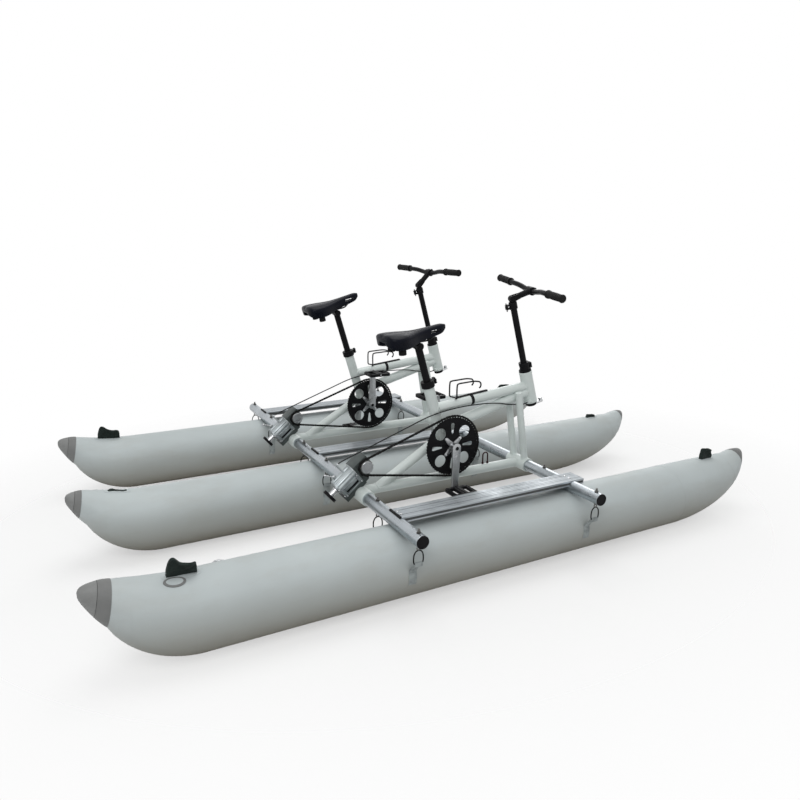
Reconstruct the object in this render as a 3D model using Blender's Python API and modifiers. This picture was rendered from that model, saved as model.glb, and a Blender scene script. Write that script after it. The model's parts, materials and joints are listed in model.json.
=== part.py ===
"""Two-seat pedal water bike: three inflatable pontoons, a tube deck frame and two bike frames.

Metres. +X is the bow, +Y is port, +Z is up, and the pontoons' flat undersides lie at Z = 0.
Each bike is first drawn at y = 0, and is then moved to its own place between two pontoons.
"""

import math

import bmesh
import bpy
from mathutils import Matrix, Vector

# Overall layout
FIT = 0.0003
PONTOON_SPACING = 0.787
BIKE_Y = {"starboard": -0.478, "port": 0.309}
REAR_BEAM_X = -0.4405
FRONT_BEAM_X = 0.3515

# Pontoons
PONTOON_RADIUS = 0.1316
PONTOON_SIDES = 20
STERN_RUN = 1.13
STERN_CONE_TOP = (1.376, 0.291)
STERN_CONE_LOW = (1.404, 0.158)
STERN_TIP = (1.469, 0.276)
STERN_CONE_STEPS = ((0.55, 0.62), (1.0, 0.20))
BOW_RUN = 0.93
BOW_CONE_TOP = (1.360, 0.266)
BOW_CONE_LOW = (1.404, 0.146)
BOW_TIP = (1.458, 0.266)
BOW_CONE_STEPS = ((0.51, 0.655), (1.0, 0.255))
BOW_SHIFT = {"starboard": -0.011, "centre": 0.011, "port": 0.0}
END_RINGS = 4
VALVE_X = -1.05
VALVE_ANGLE = -45

# Webbing carry handles, lying bunched on their patches: place along the pontoon, length, height and lean
STERN_HANDLES = {"starboard": (-1.18, 0.090, 0.065, 24.0), "centre": (-1.28, 0.070, 0.007, 0.0),
                 "port": (-1.24, 0.100, 0.058, 8.0)}
BOW_HANDLES = {"starboard": (1.195, 0.065, 0.050, 6.0), "centre": (1.23, 0.060, 0.017, 0.0),
               "port": (1.21, 0.100, 0.034, 4.0)}
HANDLE_THICKNESS = 0.011
HANDLE_SUNK = 0.004
HANDLE_PATCH_WIDTH = 0.034
HANDLE_PATCH_MARGIN = 0.010
HANDLE_PATCH_HEIGHT = 0.0025

# Cross beams and their hardware
BEAM_RADIUS = 0.024
BEAM_SIDES = 16
BEAM_HALF_LENGTH = 0.983
PLUG_RIM = 0.004
EYE_BOLT_OFFSET = 0.169
INNER_BOLT_OFFSET = 0.140
BOLT_RADIUS = 0.005
HOLE_CLEARANCE = 0.0004
EYE_RADIUS = 0.0085
RING_WIDTH = 0.042
RING_HEIGHT = 0.052
RING_WIRE = 0.0022

# Deck planks
PLANK_WIDTH = 0.082
PLANK_DEPTH = 0.022
PLANK_WALL = 0.003
PLANK_GROOVE = 0.0012
PLANK_GROOVES = (-0.0190, 0.0190)
PLANK_REAR_X = -0.4365
PLANK_FRONT_X = 0.405
PLANK_CAP = 0.008
SCREW_RADIUS = 0.0025
SCREW_HEAD_RADIUS = 0.0055
SCREW_HEAD = 0.003
SCREW_LENGTH = 0.012

# Bike frame tubes
SLEEVE_RADIUS = 0.030
REAR_SLEEVE_HALF = 0.089
FRONT_SLEEVE_HALF = 0.062
RAIL_RADIUS = 0.020
STAY_RADIUS = 0.0195
STAY_LOW_X = -0.363
STAY_TOP = (-0.085, 0.450)
CRANK_AXIS = (-0.042, 0.4325)
SHELL_RADIUS = 0.021
SHELL_HALF_WIDTH = 0.035
SPINDLE_RADIUS = 0.0085
SEAT_TUBE_RADIUS = 0.0225
SEAT_TUBE_BACKSET = 0.014
SEAT_TUBE_LEAN = 0.298
SEAT_TUBE_TOP_Z = 0.700
SEAT_BORE_DEPTH = 0.250
TOP_TUBE_RADIUS = 0.021
TOP_TUBE = ((-0.105, 0.585), (0.385, 0.635))
DOWN_TUBE_RADIUS = 0.0225
DOWN_TUBE = ((-0.067, 0.492), (0.385, 0.613))
STRUT_RADIUS = 0.015
STRUT_TOP = (0.297, 0.618)

# Steering
HEAD_AXIS_POINT = (0.386, 0.600)
HEAD_LEAN = 0.285
HEAD_RADIUS = 0.0275
HEAD_LOW = -0.042
HEAD_HIGH = 0.104
STEERER_RADIUS = 0.0175
RUNNING_GAP = 0.0005
COLLAR_RADIUS = 0.0225
COLLAR_HEIGHT = 0.041
ARM_LENGTH = 0.046
MAST_RADIUS = 0.0135
MAST_FOOT = 0.012
MAST_TOP = 0.418
PIVOT_HEIGHT = 0.432
STEM_LENGTH = 0.088
BAR_RADIUS = 0.011
BAR_HALF_WIDTH = 0.300
GRIP_LENGTH = 0.120
GRIP_RADIUS = 0.0150
STEM_PIN_RADIUS = 0.0035
LEVER_PIN_RADIUS = 0.0025
LEVER_THICKNESS = 0.0070
STEM_LEVER_PIN = (-0.030, 0.016)
STEM_LEVER_LENGTH = 0.038
STEM_LEVER_REST = 70.0
STEER_TURN = {"starboard": -14.0, "port": 0.0}
STEM_RISE = {"starboard": 6.0, "port": 30.0}

# Seat
POST_RADIUS = 0.015
POST_LENGTH = 0.300
POST_OUT = {"starboard": 0.1555, "port": 0.2047}
SADDLE_TILT = {"starboard": 6.0, "port": 12.0}
SADDLE_LENGTH = 0.280
SADDLE_WIDTH = 0.160
SADDLE_PAD = 0.024
SADDLE_CROWN_STEPS = 7
RAIL_HALF_GAUGE = 0.016
RAIL_WIRE = 0.0035
HEAD_CLAMP_RADIUS = 0.0150
SEAT_LEVER_PIN = (0.036, -0.009)
SEAT_LEVER_LENGTH = 0.042
SEAT_LEVER_REST = 75.0

# Cranks, chain and drive
CHAIN_Y = -0.052
CHAINWHEEL_TEETH = 60
SPROCKET_TEETH = 13
CHAIN_PITCH = 0.0127
TOOTH_HEIGHT = 0.0045
WHEEL_THICKNESS = 0.004
WHEEL_OVAL_RADIUS = 0.080
WHEEL_OVAL_HALVES = (0.0265, 0.0250)
WHEEL_SLOT_OUTER = (0.0885, 0.0095)
WHEEL_SLOT_INNER = (0.053, 0.0045)
CRANK_LENGTH = 0.170
CRANK_OFFSET = 0.084
CRANK_THICKNESS = 0.012
CRANK_TURN = {"starboard": 1.3, "port": 181.3}
PEDAL_AXLE_RADIUS = 0.0045
PEDAL_LENGTH = 0.104
PEDAL_WIDTH = 0.088
PEDAL_THICKNESS = 0.018
DRIVE_TILT = 40.0
SHAFT_A = 0.083
SHAFT_B = 0.081
CHAIN_THICKNESS = 0.0065
CHAIN_WIDTH = 0.006
HOUSING_HALF_WIDTH = 0.035
HOUSING_REAR = -0.052
HOUSING_FRONT = 0.041
HOUSING_FOOT = 0.042
HOUSING_CENTRE = HOUSING_FOOT + 0.040
HOUSING_TOP = HOUSING_CENTRE + HOUSING_HALF_WIDTH
DRIVE_LEVER_PIN = (-0.030, HOUSING_TOP + 0.008)
DRIVE_PIN_RADIUS = 0.003
CABLE_REST = (0.012, HOUSING_TOP + 0.036)
CASE_FRONT = 0.112
CASE_WALL = 0.006
BEVEL_TEETH = 10
BEVEL_RADIUS = 0.018
BEVEL_HUB_RADIUS = 0.011
BEVEL_HUB_LENGTH = 0.006
SHAFT_RADIUS = 0.008
INPUT_RADIUS = 0.007
FLANGE_RADIUS = 0.030
FLANGE_THICKNESS = 0.012
FLANGE_A = -0.099
CABLE_RADIUS = 0.0025
CABLE_STOP = (-0.031, -0.022, -0.028)
CAGE_WIRE = 0.0025

BEAM_Z = 2 * PONTOON_RADIUS + FIT + BEAM_RADIUS
PLANK_TOP_Z = BEAM_Z + BEAM_RADIUS + FIT + PLANK_WALL
PONTOON_Y = (-PONTOON_SPACING, 0.0, PONTOON_SPACING)
BEAM_X = (REAR_BEAM_X, FRONT_BEAM_X)
EYE_Z = -BEAM_RADIUS - EYE_RADIUS
RING_LOW = EYE_Z - EYE_RADIUS - RING_HEIGHT + 0.002
ACROSS_X = Matrix(((0, 0, 1, 0), (1, 0, 0, 0), (0, 1, 0, 0), (0, 0, 0, 1)))

parts = bpy.data.collections.new("water_bike")
bpy.context.scene.collection.children.link(parts)
for leftover in list(bpy.data.objects):
    bpy.data.objects.remove(leftover, do_unlink=True)


# Materials
def look(name, colour, roughness, metallic=0.0):
    """A plain material with the photographed colour."""
    made = bpy.data.materials.new(name)
    made.use_nodes = True
    made.diffuse_color = (*colour, 1.0)
    shader = made.node_tree.nodes["Principled BSDF"]
    shader.inputs["Base Color"].default_value = (*colour, 1.0)
    shader.inputs["Roughness"].default_value = roughness
    shader.inputs["Metallic"].default_value = metallic
    return made


PVC_GREY = look("pale_grey_pvc", (0.60, 0.64, 0.63), 0.55)
ALUMINIUM = look("plain_aluminium", (0.62, 0.65, 0.66), 0.4, 1.0)
WHITE_PAINT = look("white_painted_tube", (0.72, 0.77, 0.74), 0.35)
BLACK_PAINT = look("black_painted_metal", (0.015, 0.015, 0.016), 0.35)
BLACK_RUBBER = look("black_rubber", (0.012, 0.012, 0.012), 0.7)
STEEL = look("bright_steel", (0.66, 0.67, 0.68), 0.25, 1.0)
CAST = look("cast_aluminium", (0.55, 0.57, 0.58), 0.45, 1.0)
DARK_CAST = look("dark_cast_metal", (0.06, 0.065, 0.07), 0.5, 0.6)


# Mesh helpers
def mesh_from(build, name="shape"):
    """Close a bmesh into a mesh whose faces point out."""
    bmesh.ops.recalc_face_normals(build, faces=build.faces[:])
    mesh = bpy.data.meshes.new(name)
    build.to_mesh(mesh)
    build.free()
    return mesh


def evaluated(host, weld=0.000001):
    """The mesh of an object with its modifiers or its curve bevel, and the object gone."""
    parts.objects.link(host)
    bpy.context.view_layer.update()
    graph = bpy.context.evaluated_depsgraph_get()
    raw = bpy.data.meshes.new_from_object(host.evaluated_get(graph))
    build = bmesh.new()
    build.from_mesh(raw)
    bmesh.ops.remove_doubles(build, verts=build.verts[:], dist=weld)
    bpy.data.objects.remove(host, do_unlink=True)
    bpy.data.meshes.remove(raw)
    return mesh_from(build)


def combine(first, second, operation):
    """Cut one mesh with another, or join the two."""
    tool = bpy.data.objects.new("tool", second)
    host = bpy.data.objects.new("host", first)
    parts.objects.link(tool)
    boolean = host.modifiers.new("boolean", "BOOLEAN")
    boolean.operation = operation
    boolean.solver = "EXACT"
    boolean.object = tool
    result = evaluated(host)
    bpy.data.objects.remove(tool, do_unlink=True)
    return result


def cut(mesh, *tools):
    """Take each tool away from the mesh."""
    for tool in tools:
        mesh = combine(mesh, tool, "DIFFERENCE")
    return mesh


def join(mesh, *others):
    """One solid out of overlapping ones."""
    for other in others:
        mesh = combine(mesh, other, "UNION")
    return mesh


def moved(mesh, matrix):
    """A copy of a mesh under a matrix."""
    copy = mesh.copy()
    copy.transform(matrix)
    if matrix.determinant() < 0:
        copy.flip_normals()
    return copy


def shift(x=0.0, y=0.0, z=0.0):
    """A plain move."""
    return Matrix.Translation((x, y, z))


def turn(degrees, axis):
    """A plain rotation."""
    return Matrix.Rotation(math.radians(degrees), 4, axis)


def rod(start, end, radius, sides=12, end_radius=None):
    """A round bar or a cone between two points."""
    start = Vector(start)
    run = Vector(end) - start
    place = Matrix.Translation(start + run / 2) @ run.to_track_quat("Z", "Y").to_matrix().to_4x4()
    build = bmesh.new()
    tip = radius if end_radius is None else end_radius
    bmesh.ops.create_cone(build, cap_ends=True, segments=sides, radius1=radius, radius2=tip,
                          depth=run.length, matrix=place)
    return mesh_from(build)


def bore(start, end, radius, sides=12, gap=None):
    """Room round a turning shaft, whose flats clear the shaft's corners."""
    gap = RUNNING_GAP if gap is None else gap
    return rod(start, end, (radius + gap) / math.cos(math.pi / sides), sides)


def block(low, high):
    """A box between two corners."""
    low = Vector(low)
    high = Vector(high)
    size = high - low
    place = Matrix.Translation((low + high) / 2) @ Matrix.Diagonal((*size, 1.0))
    build = bmesh.new()
    bmesh.ops.create_cube(build, size=1.0, matrix=place)
    return mesh_from(build)


def turned(profile, sides=16):
    """A profile of (radius, height) points turned about Z; the profile is a closed loop."""
    mesh = bpy.data.meshes.new("profile")
    points = [(radius, 0.0, height) for radius, height in profile]
    on_axis = profile[0][0] == 0.0 and profile[-1][0] == 0.0
    count = len(points)
    edges = [(index, index + 1) for index in range(count - 1)]
    if not on_axis:
        edges.append((count - 1, 0))
    mesh.from_pydata(points, edges, [])
    host = bpy.data.objects.new("turned", mesh)
    screw = host.modifiers.new("turn", "SCREW")
    screw.steps = sides
    screw.render_steps = sides
    screw.use_merge_vertices = True
    screw.merge_threshold = 0.00001
    return evaluated(host)


def plate(outline, thickness, holes=()):
    """A flat outline in XY, with holes, thick along Z and centred on z = 0."""
    curve = bpy.data.curves.new("outline", "CURVE")
    curve.dimensions = "2D"
    curve.fill_mode = "BOTH"
    curve.extrude = thickness / 2
    for loop in (outline, *holes):
        spline = curve.splines.new("POLY")
        spline.points.add(len(loop) - 1)
        for point, (x, y) in zip(spline.points, loop):
            point.co = (x, y, 0.0, 1.0)
        spline.use_cyclic_u = True
    mesh = evaluated(bpy.data.objects.new("outline", curve))
    bpy.data.curves.remove(curve)
    return mesh


def wire(points, radius, resolution=2, cyclic=False):
    """A bent round wire or tube; its cross-section has four sides plus two for each resolution step."""
    curve = bpy.data.curves.new("wire", "CURVE")
    curve.dimensions = "3D"
    curve.bevel_depth = radius
    curve.bevel_resolution = resolution
    curve.use_fill_caps = True
    spline = curve.splines.new("POLY")
    spline.points.add(len(points) - 1)
    for point, place in zip(spline.points, points):
        point.co = (*place, 1.0)
    spline.use_cyclic_u = cyclic
    mesh = evaluated(bpy.data.objects.new("wire", curve))
    bpy.data.curves.remove(curve)
    return mesh


def loft(rings):
    """A closed solid through rings that have the same number of points."""
    build = bmesh.new()
    rows = [[build.verts.new(point) for point in ring] for ring in rings]
    count = len(rows[0])
    for near, far in zip(rows, rows[1:]):
        for index in range(count):
            after = (index + 1) % count
            build.faces.new((near[index], near[after], far[after], far[index]))
    build.faces.new(rows[0])
    build.faces.new(rows[-1])
    return mesh_from(build)


def arc(centre, radius, first, last, count):
    """Points on an arc in a plane, from one angle in degrees to another."""
    angles = [math.radians(first + (last - first) * step / (count - 1)) for step in range(count)]
    return [(centre[0] + radius * math.cos(angle), centre[1] + radius * math.sin(angle))
            for angle in angles]


def circle(centre, radius, count):
    """Points round a whole circle."""
    return arc(centre, radius, 0, 360 - 360 / count, count)


def smooth_path(points, steps):
    """A smooth curve through hand-chosen points, with a few steps in each span."""
    places = [Vector(point) for point in points]
    padded = [2 * places[0] - places[1], *places, 2 * places[-1] - places[-2]]
    path = []
    for index in range(1, len(padded) - 2):
        before, here, there, after = padded[index - 1:index + 3]
        for step in range(steps):
            t = step / steps
            path.append(0.5 * (2 * here + (there - before) * t
                               + (2 * before - 5 * here + 4 * there - after) * t * t
                               + (3 * here - before - 3 * there + after) * t ** 3))
    path.append(places[-1])
    return path


def piece(name, mesh, material, place=None):
    """A finished sub-part, shaded smooth except at its hard edges."""
    mesh.name = name
    mesh.materials.clear()
    mesh.materials.append(material)
    mesh.polygons.foreach_set("use_smooth", [True] * len(mesh.polygons))
    mesh.set_sharp_from_angle(angle=math.radians(40))
    made = bpy.data.objects.new(name, mesh)
    parts.objects.link(made)
    if place is not None:
        made.matrix_world = place
    return made


def on_both_bikes(name, mesh, material, place=None):
    """The same piece on each bike."""
    place = Matrix.Identity(4) if place is None else place
    for bike, y in BIKE_Y.items():
        piece(name + "_" + bike, mesh.copy(), material, shift(y=y) @ place)


# Places on a bike
def flat(point, y=0.0):
    """A point given by its x and z."""
    return (point[0], y, point[1])


SEAT_TUBE_LOW = (CRANK_AXIS[0] - SEAT_TUBE_BACKSET, CRANK_AXIS[1])
SEAT_TUBE_HIGH = (SEAT_TUBE_LOW[0] - SEAT_TUBE_LEAN * (SEAT_TUBE_TOP_Z - SEAT_TUBE_LOW[1]), SEAT_TUBE_TOP_Z)
SEAT_ANGLE = -math.degrees(math.atan(SEAT_TUBE_LEAN))
HEAD_ANGLE = -math.degrees(math.atan(HEAD_LEAN))
SEAT_PLACE = shift(*flat(SEAT_TUBE_HIGH)) @ turn(SEAT_ANGLE, "Y")
HEAD_PLACE = shift(*flat(HEAD_AXIS_POINT)) @ turn(HEAD_ANGLE, "Y")
DRIVE_PLACE = shift(REAR_BEAM_X, 0.0, BEAM_Z) @ turn(-DRIVE_TILT, "Y")
SHAFT_PLACE = DRIVE_PLACE @ shift(SHAFT_A, 0.0, SHAFT_B)


def wheel_radius(teeth):
    """Tip radius of a toothed chain wheel."""
    return CHAIN_PITCH / (2 * math.sin(math.pi / teeth)) + TOOTH_HEIGHT / 2 - 0.001


def end_section(run, top, low, share, height):
    """Top and bottom points of a pontoon section, share 0 at the straight part and 1 at the cone."""
    top_x = run + (top[0] - run) * share
    top_z = height + (top[1] - height) * share ** 2
    low_x = run + (low[0] - run) * share
    span = low[0] - run
    width = span / math.sqrt(1 - (1 - low[1] / height) ** 2)
    low_z = height * (1 - math.sqrt(1 - ((low_x - run) / width) ** 2))
    return Vector((top_x, 0.0, top_z)), Vector((low_x, 0.0, low_z))


def hull_ring(top, low, size=1.0, middle=None):
    """A ring of points whose flats touch the top and bottom points."""
    centre = (top + low) / 2 if middle is None else middle
    upright = (top - low).normalized()
    radius = (top - low).length / 2 * size / math.cos(math.pi / PONTOON_SIDES)
    ring = []
    for step in range(PONTOON_SIDES):
        angle = 2 * math.pi * (step + 0.5) / PONTOON_SIDES
        ring.append(centre + radius * (math.cos(angle) * upright + math.sin(angle) * Vector((0, 1, 0))))
    return ring


def end_rings(run, top, low, tip, cone_steps):
    """One end of a pontoon from its straight part to the nose of its grey cone, drawn for the bow."""
    height = 2 * PONTOON_RADIUS
    rings = []
    for step in range(END_RINGS + 1):
        rings.append(hull_ring(*end_section(run, top, low, step / END_RINGS, height)))
    high, deep = end_section(run, top, low, 1.0, height)
    centre = (high + deep) / 2
    nose = Vector((tip[0], 0.0, tip[1]))
    for share, size in cone_steps:
        ring = hull_ring(high, deep, size, centre + (nose - centre) * share)
        rings.append([Vector((min(point.x, tip[0]), point.y, point.z)) for point in ring])
    return rings


def pontoon_tube(bow_shift):
    """One inflatable tube, straight below and rising to a cone at each end."""
    stern = [[Vector((-point.x, point.y, point.z)) for point in ring]
             for ring in reversed(end_rings(STERN_RUN, STERN_CONE_TOP, STERN_CONE_LOW, STERN_TIP, STERN_CONE_STEPS))]
    bow = [[point + Vector((bow_shift, 0.0, 0.0)) for point in ring]
           for ring in end_rings(BOW_RUN, BOW_CONE_TOP, BOW_CONE_LOW, BOW_TIP, BOW_CONE_STEPS)]
    return loft(stern + bow)


def bolt_places(y):
    """The y of the eye bolts either side of a pontoon; an outboard one stands further out."""
    return [y + side * (EYE_BOLT_OFFSET if y * side > 0 else INNER_BOLT_OFFSET) for side in (-1, 1)]


def handle_mesh(length, height, lean):
    """A webbing carry handle that lies folded on its patch; the patch is sunk a little into the skin."""
    peaks = [(0.50, -HANDLE_SUNK), (0.47, 0.35 * height), (0.31, 0.95 * height), (0.16, height), (0.0, 0.72 * height),
             (-0.17, 0.80 * height), (-0.33, 0.88 * height), (-0.46, 0.35 * height), (-0.50, -HANDLE_SUNK)]
    fold = moved(plate([(share * length, z) for share, z in peaks], HANDLE_THICKNESS), turn(90 + lean, "X"))
    half_length = length / 2 + HANDLE_PATCH_MARGIN
    half_width = HANDLE_PATCH_WIDTH / 2
    patch = block((-half_length, -half_width, -HANDLE_SUNK / 2), (half_length, half_width, HANDLE_PATCH_HEIGHT))
    return join(patch, fold)


def top_height(x):
    """Height of a pontoon's top line at x."""
    height = 2 * PONTOON_RADIUS
    run, top = (STERN_RUN, STERN_CONE_TOP) if x < 0 else (BOW_RUN, BOW_CONE_TOP)
    share = max(0.0, (abs(x) - run) / (top[0] - run))
    return height + (top[1] - height) * share ** 2


def on_top(x):
    """A place on the pontoon's top line, turned to its slope."""
    rise = (top_height(x + 0.05) - top_height(x - 0.05)) / 0.10
    return shift(x, 0.0, top_height(x)) @ turn(-math.degrees(math.atan(rise)), "Y")


def make_pontoons():
    """Three pontoons, each with its two carry handles and its air valve."""
    valve_profile = [(0.0, 0.009), (0.014, 0.009), (0.017, 0.006), (0.024, 0.004), (0.026, -0.001), (0.0, -0.001)]
    valve = moved(turned(valve_profile, 10), shift(VALVE_X, 0.0, PONTOON_RADIUS) @ turn(VALVE_ANGLE, "X")
                  @ shift(z=PONTOON_RADIUS))
    for name, y in zip(("starboard", "centre", "port"), PONTOON_Y):
        extras = [valve]
        for x, length, height, lean in (STERN_HANDLES[name], BOW_HANDLES[name]):
            extras.append(moved(handle_mesh(length, height, lean), on_top(x)))
        tube = pontoon_tube(BOW_SHIFT[name])
        piece("pontoon_" + name, moved(join(tube, *extras), shift(y=y)), PVC_GREY)


def shackle_mesh():
    """An eye and the ring below it, flat against the beam's length, and the bolt's end above."""
    half = RING_WIDTH / 2
    top = RING_LOW + RING_HEIGHT
    inner = half - 2 * RING_WIRE
    eye_hole = circle((0.0, EYE_Z), EYE_RADIUS - 0.004, 4)
    shoulder = RING_LOW + 0.014
    outline = [(EYE_RADIUS, EYE_Z), (half, shoulder), (half - 0.004, RING_LOW), (-half + 0.004, RING_LOW),
               (-half, shoulder), (-EYE_RADIUS, EYE_Z), (-0.004, EYE_Z + EYE_RADIUS + 0.001),
               (0.004, EYE_Z + EYE_RADIUS + 0.001)]
    ring_hole = [(0.0, top - 0.003), (inner, shoulder), (inner - 0.003, RING_LOW + 2 * RING_WIRE),
                 (-inner + 0.003, RING_LOW + 2 * RING_WIRE), (-inner, shoulder)]
    ring = moved(plate(outline, 2 * RING_WIRE, [eye_hole, ring_hole]), turn(90, "X"))
    bolt_end = rod((0, 0, BEAM_RADIUS - 0.002), (0, 0, BEAM_RADIUS + 0.015), BOLT_RADIUS, 5)
    return ring, bolt_end


def make_beams():
    """Two cross beams with their end plugs, and the eye bolts and rings that hang from them."""
    shackle = shackle_mesh()
    plug_profile = [(0.0, PLUG_RIM), (BEAM_RADIUS - 0.003, PLUG_RIM), (BEAM_RADIUS, 0.001),
                    (BEAM_RADIUS, -0.001), (0.0, -0.001)]
    plug = turned(plug_profile, BEAM_SIDES)
    for name, x in (("rear_beam", REAR_BEAM_X), ("front_beam", FRONT_BEAM_X)):
        middle = shift(x, 0.0, BEAM_Z)
        beam = moved(rod((0, -BEAM_HALF_LENGTH, 0), (0, BEAM_HALF_LENGTH, 0), BEAM_RADIUS, BEAM_SIDES), middle)
        for side in (-1, 1):
            end = middle @ shift(y=side * BEAM_HALF_LENGTH) @ turn(-90 * side, "X") @ turn(180 / BEAM_SIDES, "Z")
            beam = join(beam, moved(plug, end))
        for y in PONTOON_Y:
            for bolt_y in bolt_places(y):
                beam = join(beam, *[moved(half, middle @ shift(y=bolt_y)) for half in shackle])
            screw_x = plank_screw_x(x)
            hole = rod((screw_x, y, BEAM_Z + 0.008), (screw_x, y, BEAM_Z + 0.04), SCREW_RADIUS + HOLE_CLEARANCE, 6)
            beam = cut(beam, hole)
        piece(name, beam, ALUMINIUM)


def plank_screw_x(beam_x):
    """The screw stands on the beam's crown, clear of the plank's rear edge."""
    return max(beam_x, PLANK_REAR_X + 0.006)


def plank_mesh():
    """A grooved channel plank notched over both beams, with its screws and rubber end strip."""
    half = PLANK_WIDTH / 2
    inner = half - PLANK_WALL
    top = PLANK_TOP_Z
    outline = [(-half, top - PLANK_DEPTH), (-half, top)]
    for groove in PLANK_GROOVES:
        outline += [(groove - 0.002, top), (groove - 0.001, top - PLANK_GROOVE),
                    (groove + 0.001, top - PLANK_GROOVE), (groove + 0.002, top)]
    outline += [(half, top), (half, top - PLANK_DEPTH), (inner, top - PLANK_DEPTH),
                (inner, top - PLANK_WALL), (-inner, top - PLANK_WALL), (-inner, top - PLANK_DEPTH)]
    length = PLANK_FRONT_X - PLANK_REAR_X
    plank = moved(plate(outline, length), shift((PLANK_FRONT_X + PLANK_REAR_X) / 2) @ ACROSS_X)
    notches = [rod((x, -half - 0.01, BEAM_Z), (x, half + 0.01, BEAM_Z), BEAM_RADIUS + FIT, BEAM_SIDES)
               for x in BEAM_X]
    plank = cut(plank, *notches)
    strip = block((PLANK_REAR_X - PLANK_CAP, -half, top - PLANK_WALL), (PLANK_REAR_X + 0.001, half, top + 0.002))
    screw_profile = [(0.0, SCREW_HEAD), (SCREW_HEAD_RADIUS, SCREW_HEAD), (SCREW_HEAD_RADIUS, -0.0005),
                     (SCREW_RADIUS, -0.0005), (SCREW_RADIUS, -SCREW_LENGTH), (0.0, -SCREW_LENGTH)]
    screw = turned(screw_profile, 6)
    screws = [moved(screw, shift(plank_screw_x(x), 0.0, top)) for x in BEAM_X]
    return join(plank, strip, *screws)


def make_planks():
    """A plank along each pontoon."""
    plank = plank_mesh()
    for name, y in zip(("starboard", "centre", "port"), PONTOON_Y):
        piece("plank_" + name, plank.copy(), ALUMINIUM, shift(y=y))


# Bike frames
def tube_cutter(start, end, radius):
    """What a neighbouring tube takes out of a coped end."""
    start = Vector(start)
    end = Vector(end)
    ahead = (end - start).normalized() * 0.05
    return rod(start - ahead, end + ahead, radius + FIT, 24)


def seat_tube_cutter():
    """Room for the seat tube."""
    return tube_cutter(flat(SEAT_TUBE_LOW), flat(SEAT_TUBE_HIGH), SEAT_TUBE_RADIUS)


def shell_cutter():
    """Room for the bottom bracket shell."""
    return rod(flat(CRANK_AXIS, -0.06), flat(CRANK_AXIS, 0.06), SHELL_RADIUS + FIT, 24)


def sleeve_mesh(x, half):
    """A sleeve round a cross beam."""
    inside = (BEAM_RADIUS + FIT) / math.cos(math.pi / BEAM_SIDES)
    profile = [(SLEEVE_RADIUS, half), (SLEEVE_RADIUS, -half), (inside, -half), (inside, half)]
    return moved(turned(profile, BEAM_SIDES), shift(x, 0.0, BEAM_Z) @ turn(90, "X") @ turn(180 / BEAM_SIDES, "Z"))


def make_lower_frame():
    """Welded base of a bike: beam sleeves, bottom rail, rear stay and the pair of front struts."""
    rear = sleeve_mesh(REAR_BEAM_X, REAR_SLEEVE_HALF)
    front = sleeve_mesh(FRONT_BEAM_X, FRONT_SLEEVE_HALF)
    inset = BEAM_RADIUS + 0.003
    rail = rod((REAR_BEAM_X + inset, 0, BEAM_Z), (FRONT_BEAM_X - inset, 0, BEAM_Z), RAIL_RADIUS)
    stay = rod((STAY_LOW_X, 0, BEAM_Z), flat(STAY_TOP), STAY_RADIUS)
    stay = cut(stay, seat_tube_cutter(), shell_cutter())
    solid = join(rear, rail, front, stay)
    foot = Vector(flat((FRONT_BEAM_X, BEAM_Z)))
    ahead = (Vector(flat(STRUT_TOP)) - foot).normalized() * inset
    offset = DOWN_TUBE_RADIUS + STRUT_RADIUS + FIT
    for side in (-1, 1):
        aside = Vector((0.0, side * offset, 0.0))
        solid = join(solid, rod(foot + ahead + aside, Vector(flat(STRUT_TOP)) + aside, STRUT_RADIUS, 14))
    on_both_bikes("lower_frame", solid, WHITE_PAINT)


def make_main_frame():
    """Welded upper frame: seat tube, bottom bracket shell, head tube, top tube and down tube."""
    seat = rod(flat(SEAT_TUBE_LOW), flat(SEAT_TUBE_HIGH), SEAT_TUBE_RADIUS)
    shell = rod(flat(CRANK_AXIS, -SHELL_HALF_WIDTH), flat(CRANK_AXIS, SHELL_HALF_WIDTH), SHELL_RADIUS)
    head = moved(rod((0, 0, HEAD_LOW), (0, 0, HEAD_HIGH), HEAD_RADIUS), HEAD_PLACE)
    top = rod(flat(TOP_TUBE[0]), flat(TOP_TUBE[1]), TOP_TUBE_RADIUS)
    down = rod(flat(DOWN_TUBE[0]), flat(DOWN_TUBE[1]), DOWN_TUBE_RADIUS)
    beyond_head = moved(block((0.0, -0.05, -0.10), (0.20, 0.05, 0.16)), HEAD_PLACE)
    tubes = cut(join(top, down), beyond_head)
    post_room = moved(rod((0, 0, -SEAT_BORE_DEPTH), (0, 0, 0.02), POST_RADIUS + FIT), SEAT_PLACE)
    spindle_room = bore(flat(CRANK_AXIS, -0.06), flat(CRANK_AXIS, 0.06), SPINDLE_RADIUS)
    steerer_room = moved(bore((0, 0, HEAD_LOW - 0.02), (0, 0, HEAD_HIGH + 0.02), STEERER_RADIUS), HEAD_PLACE)
    stop = moved(block((CABLE_STOP[0], CABLE_STOP[1] - 0.006, CABLE_STOP[2] - 0.006),
                       (CABLE_STOP[0] + 0.018, CABLE_STOP[1] + 0.006, CABLE_STOP[2] + 0.006)), HEAD_PLACE)
    frame = cut(join(seat, shell, tubes, head, stop), post_room, spindle_room, steerer_room)
    on_both_bikes("main_frame", frame, WHITE_PAINT)


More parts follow.
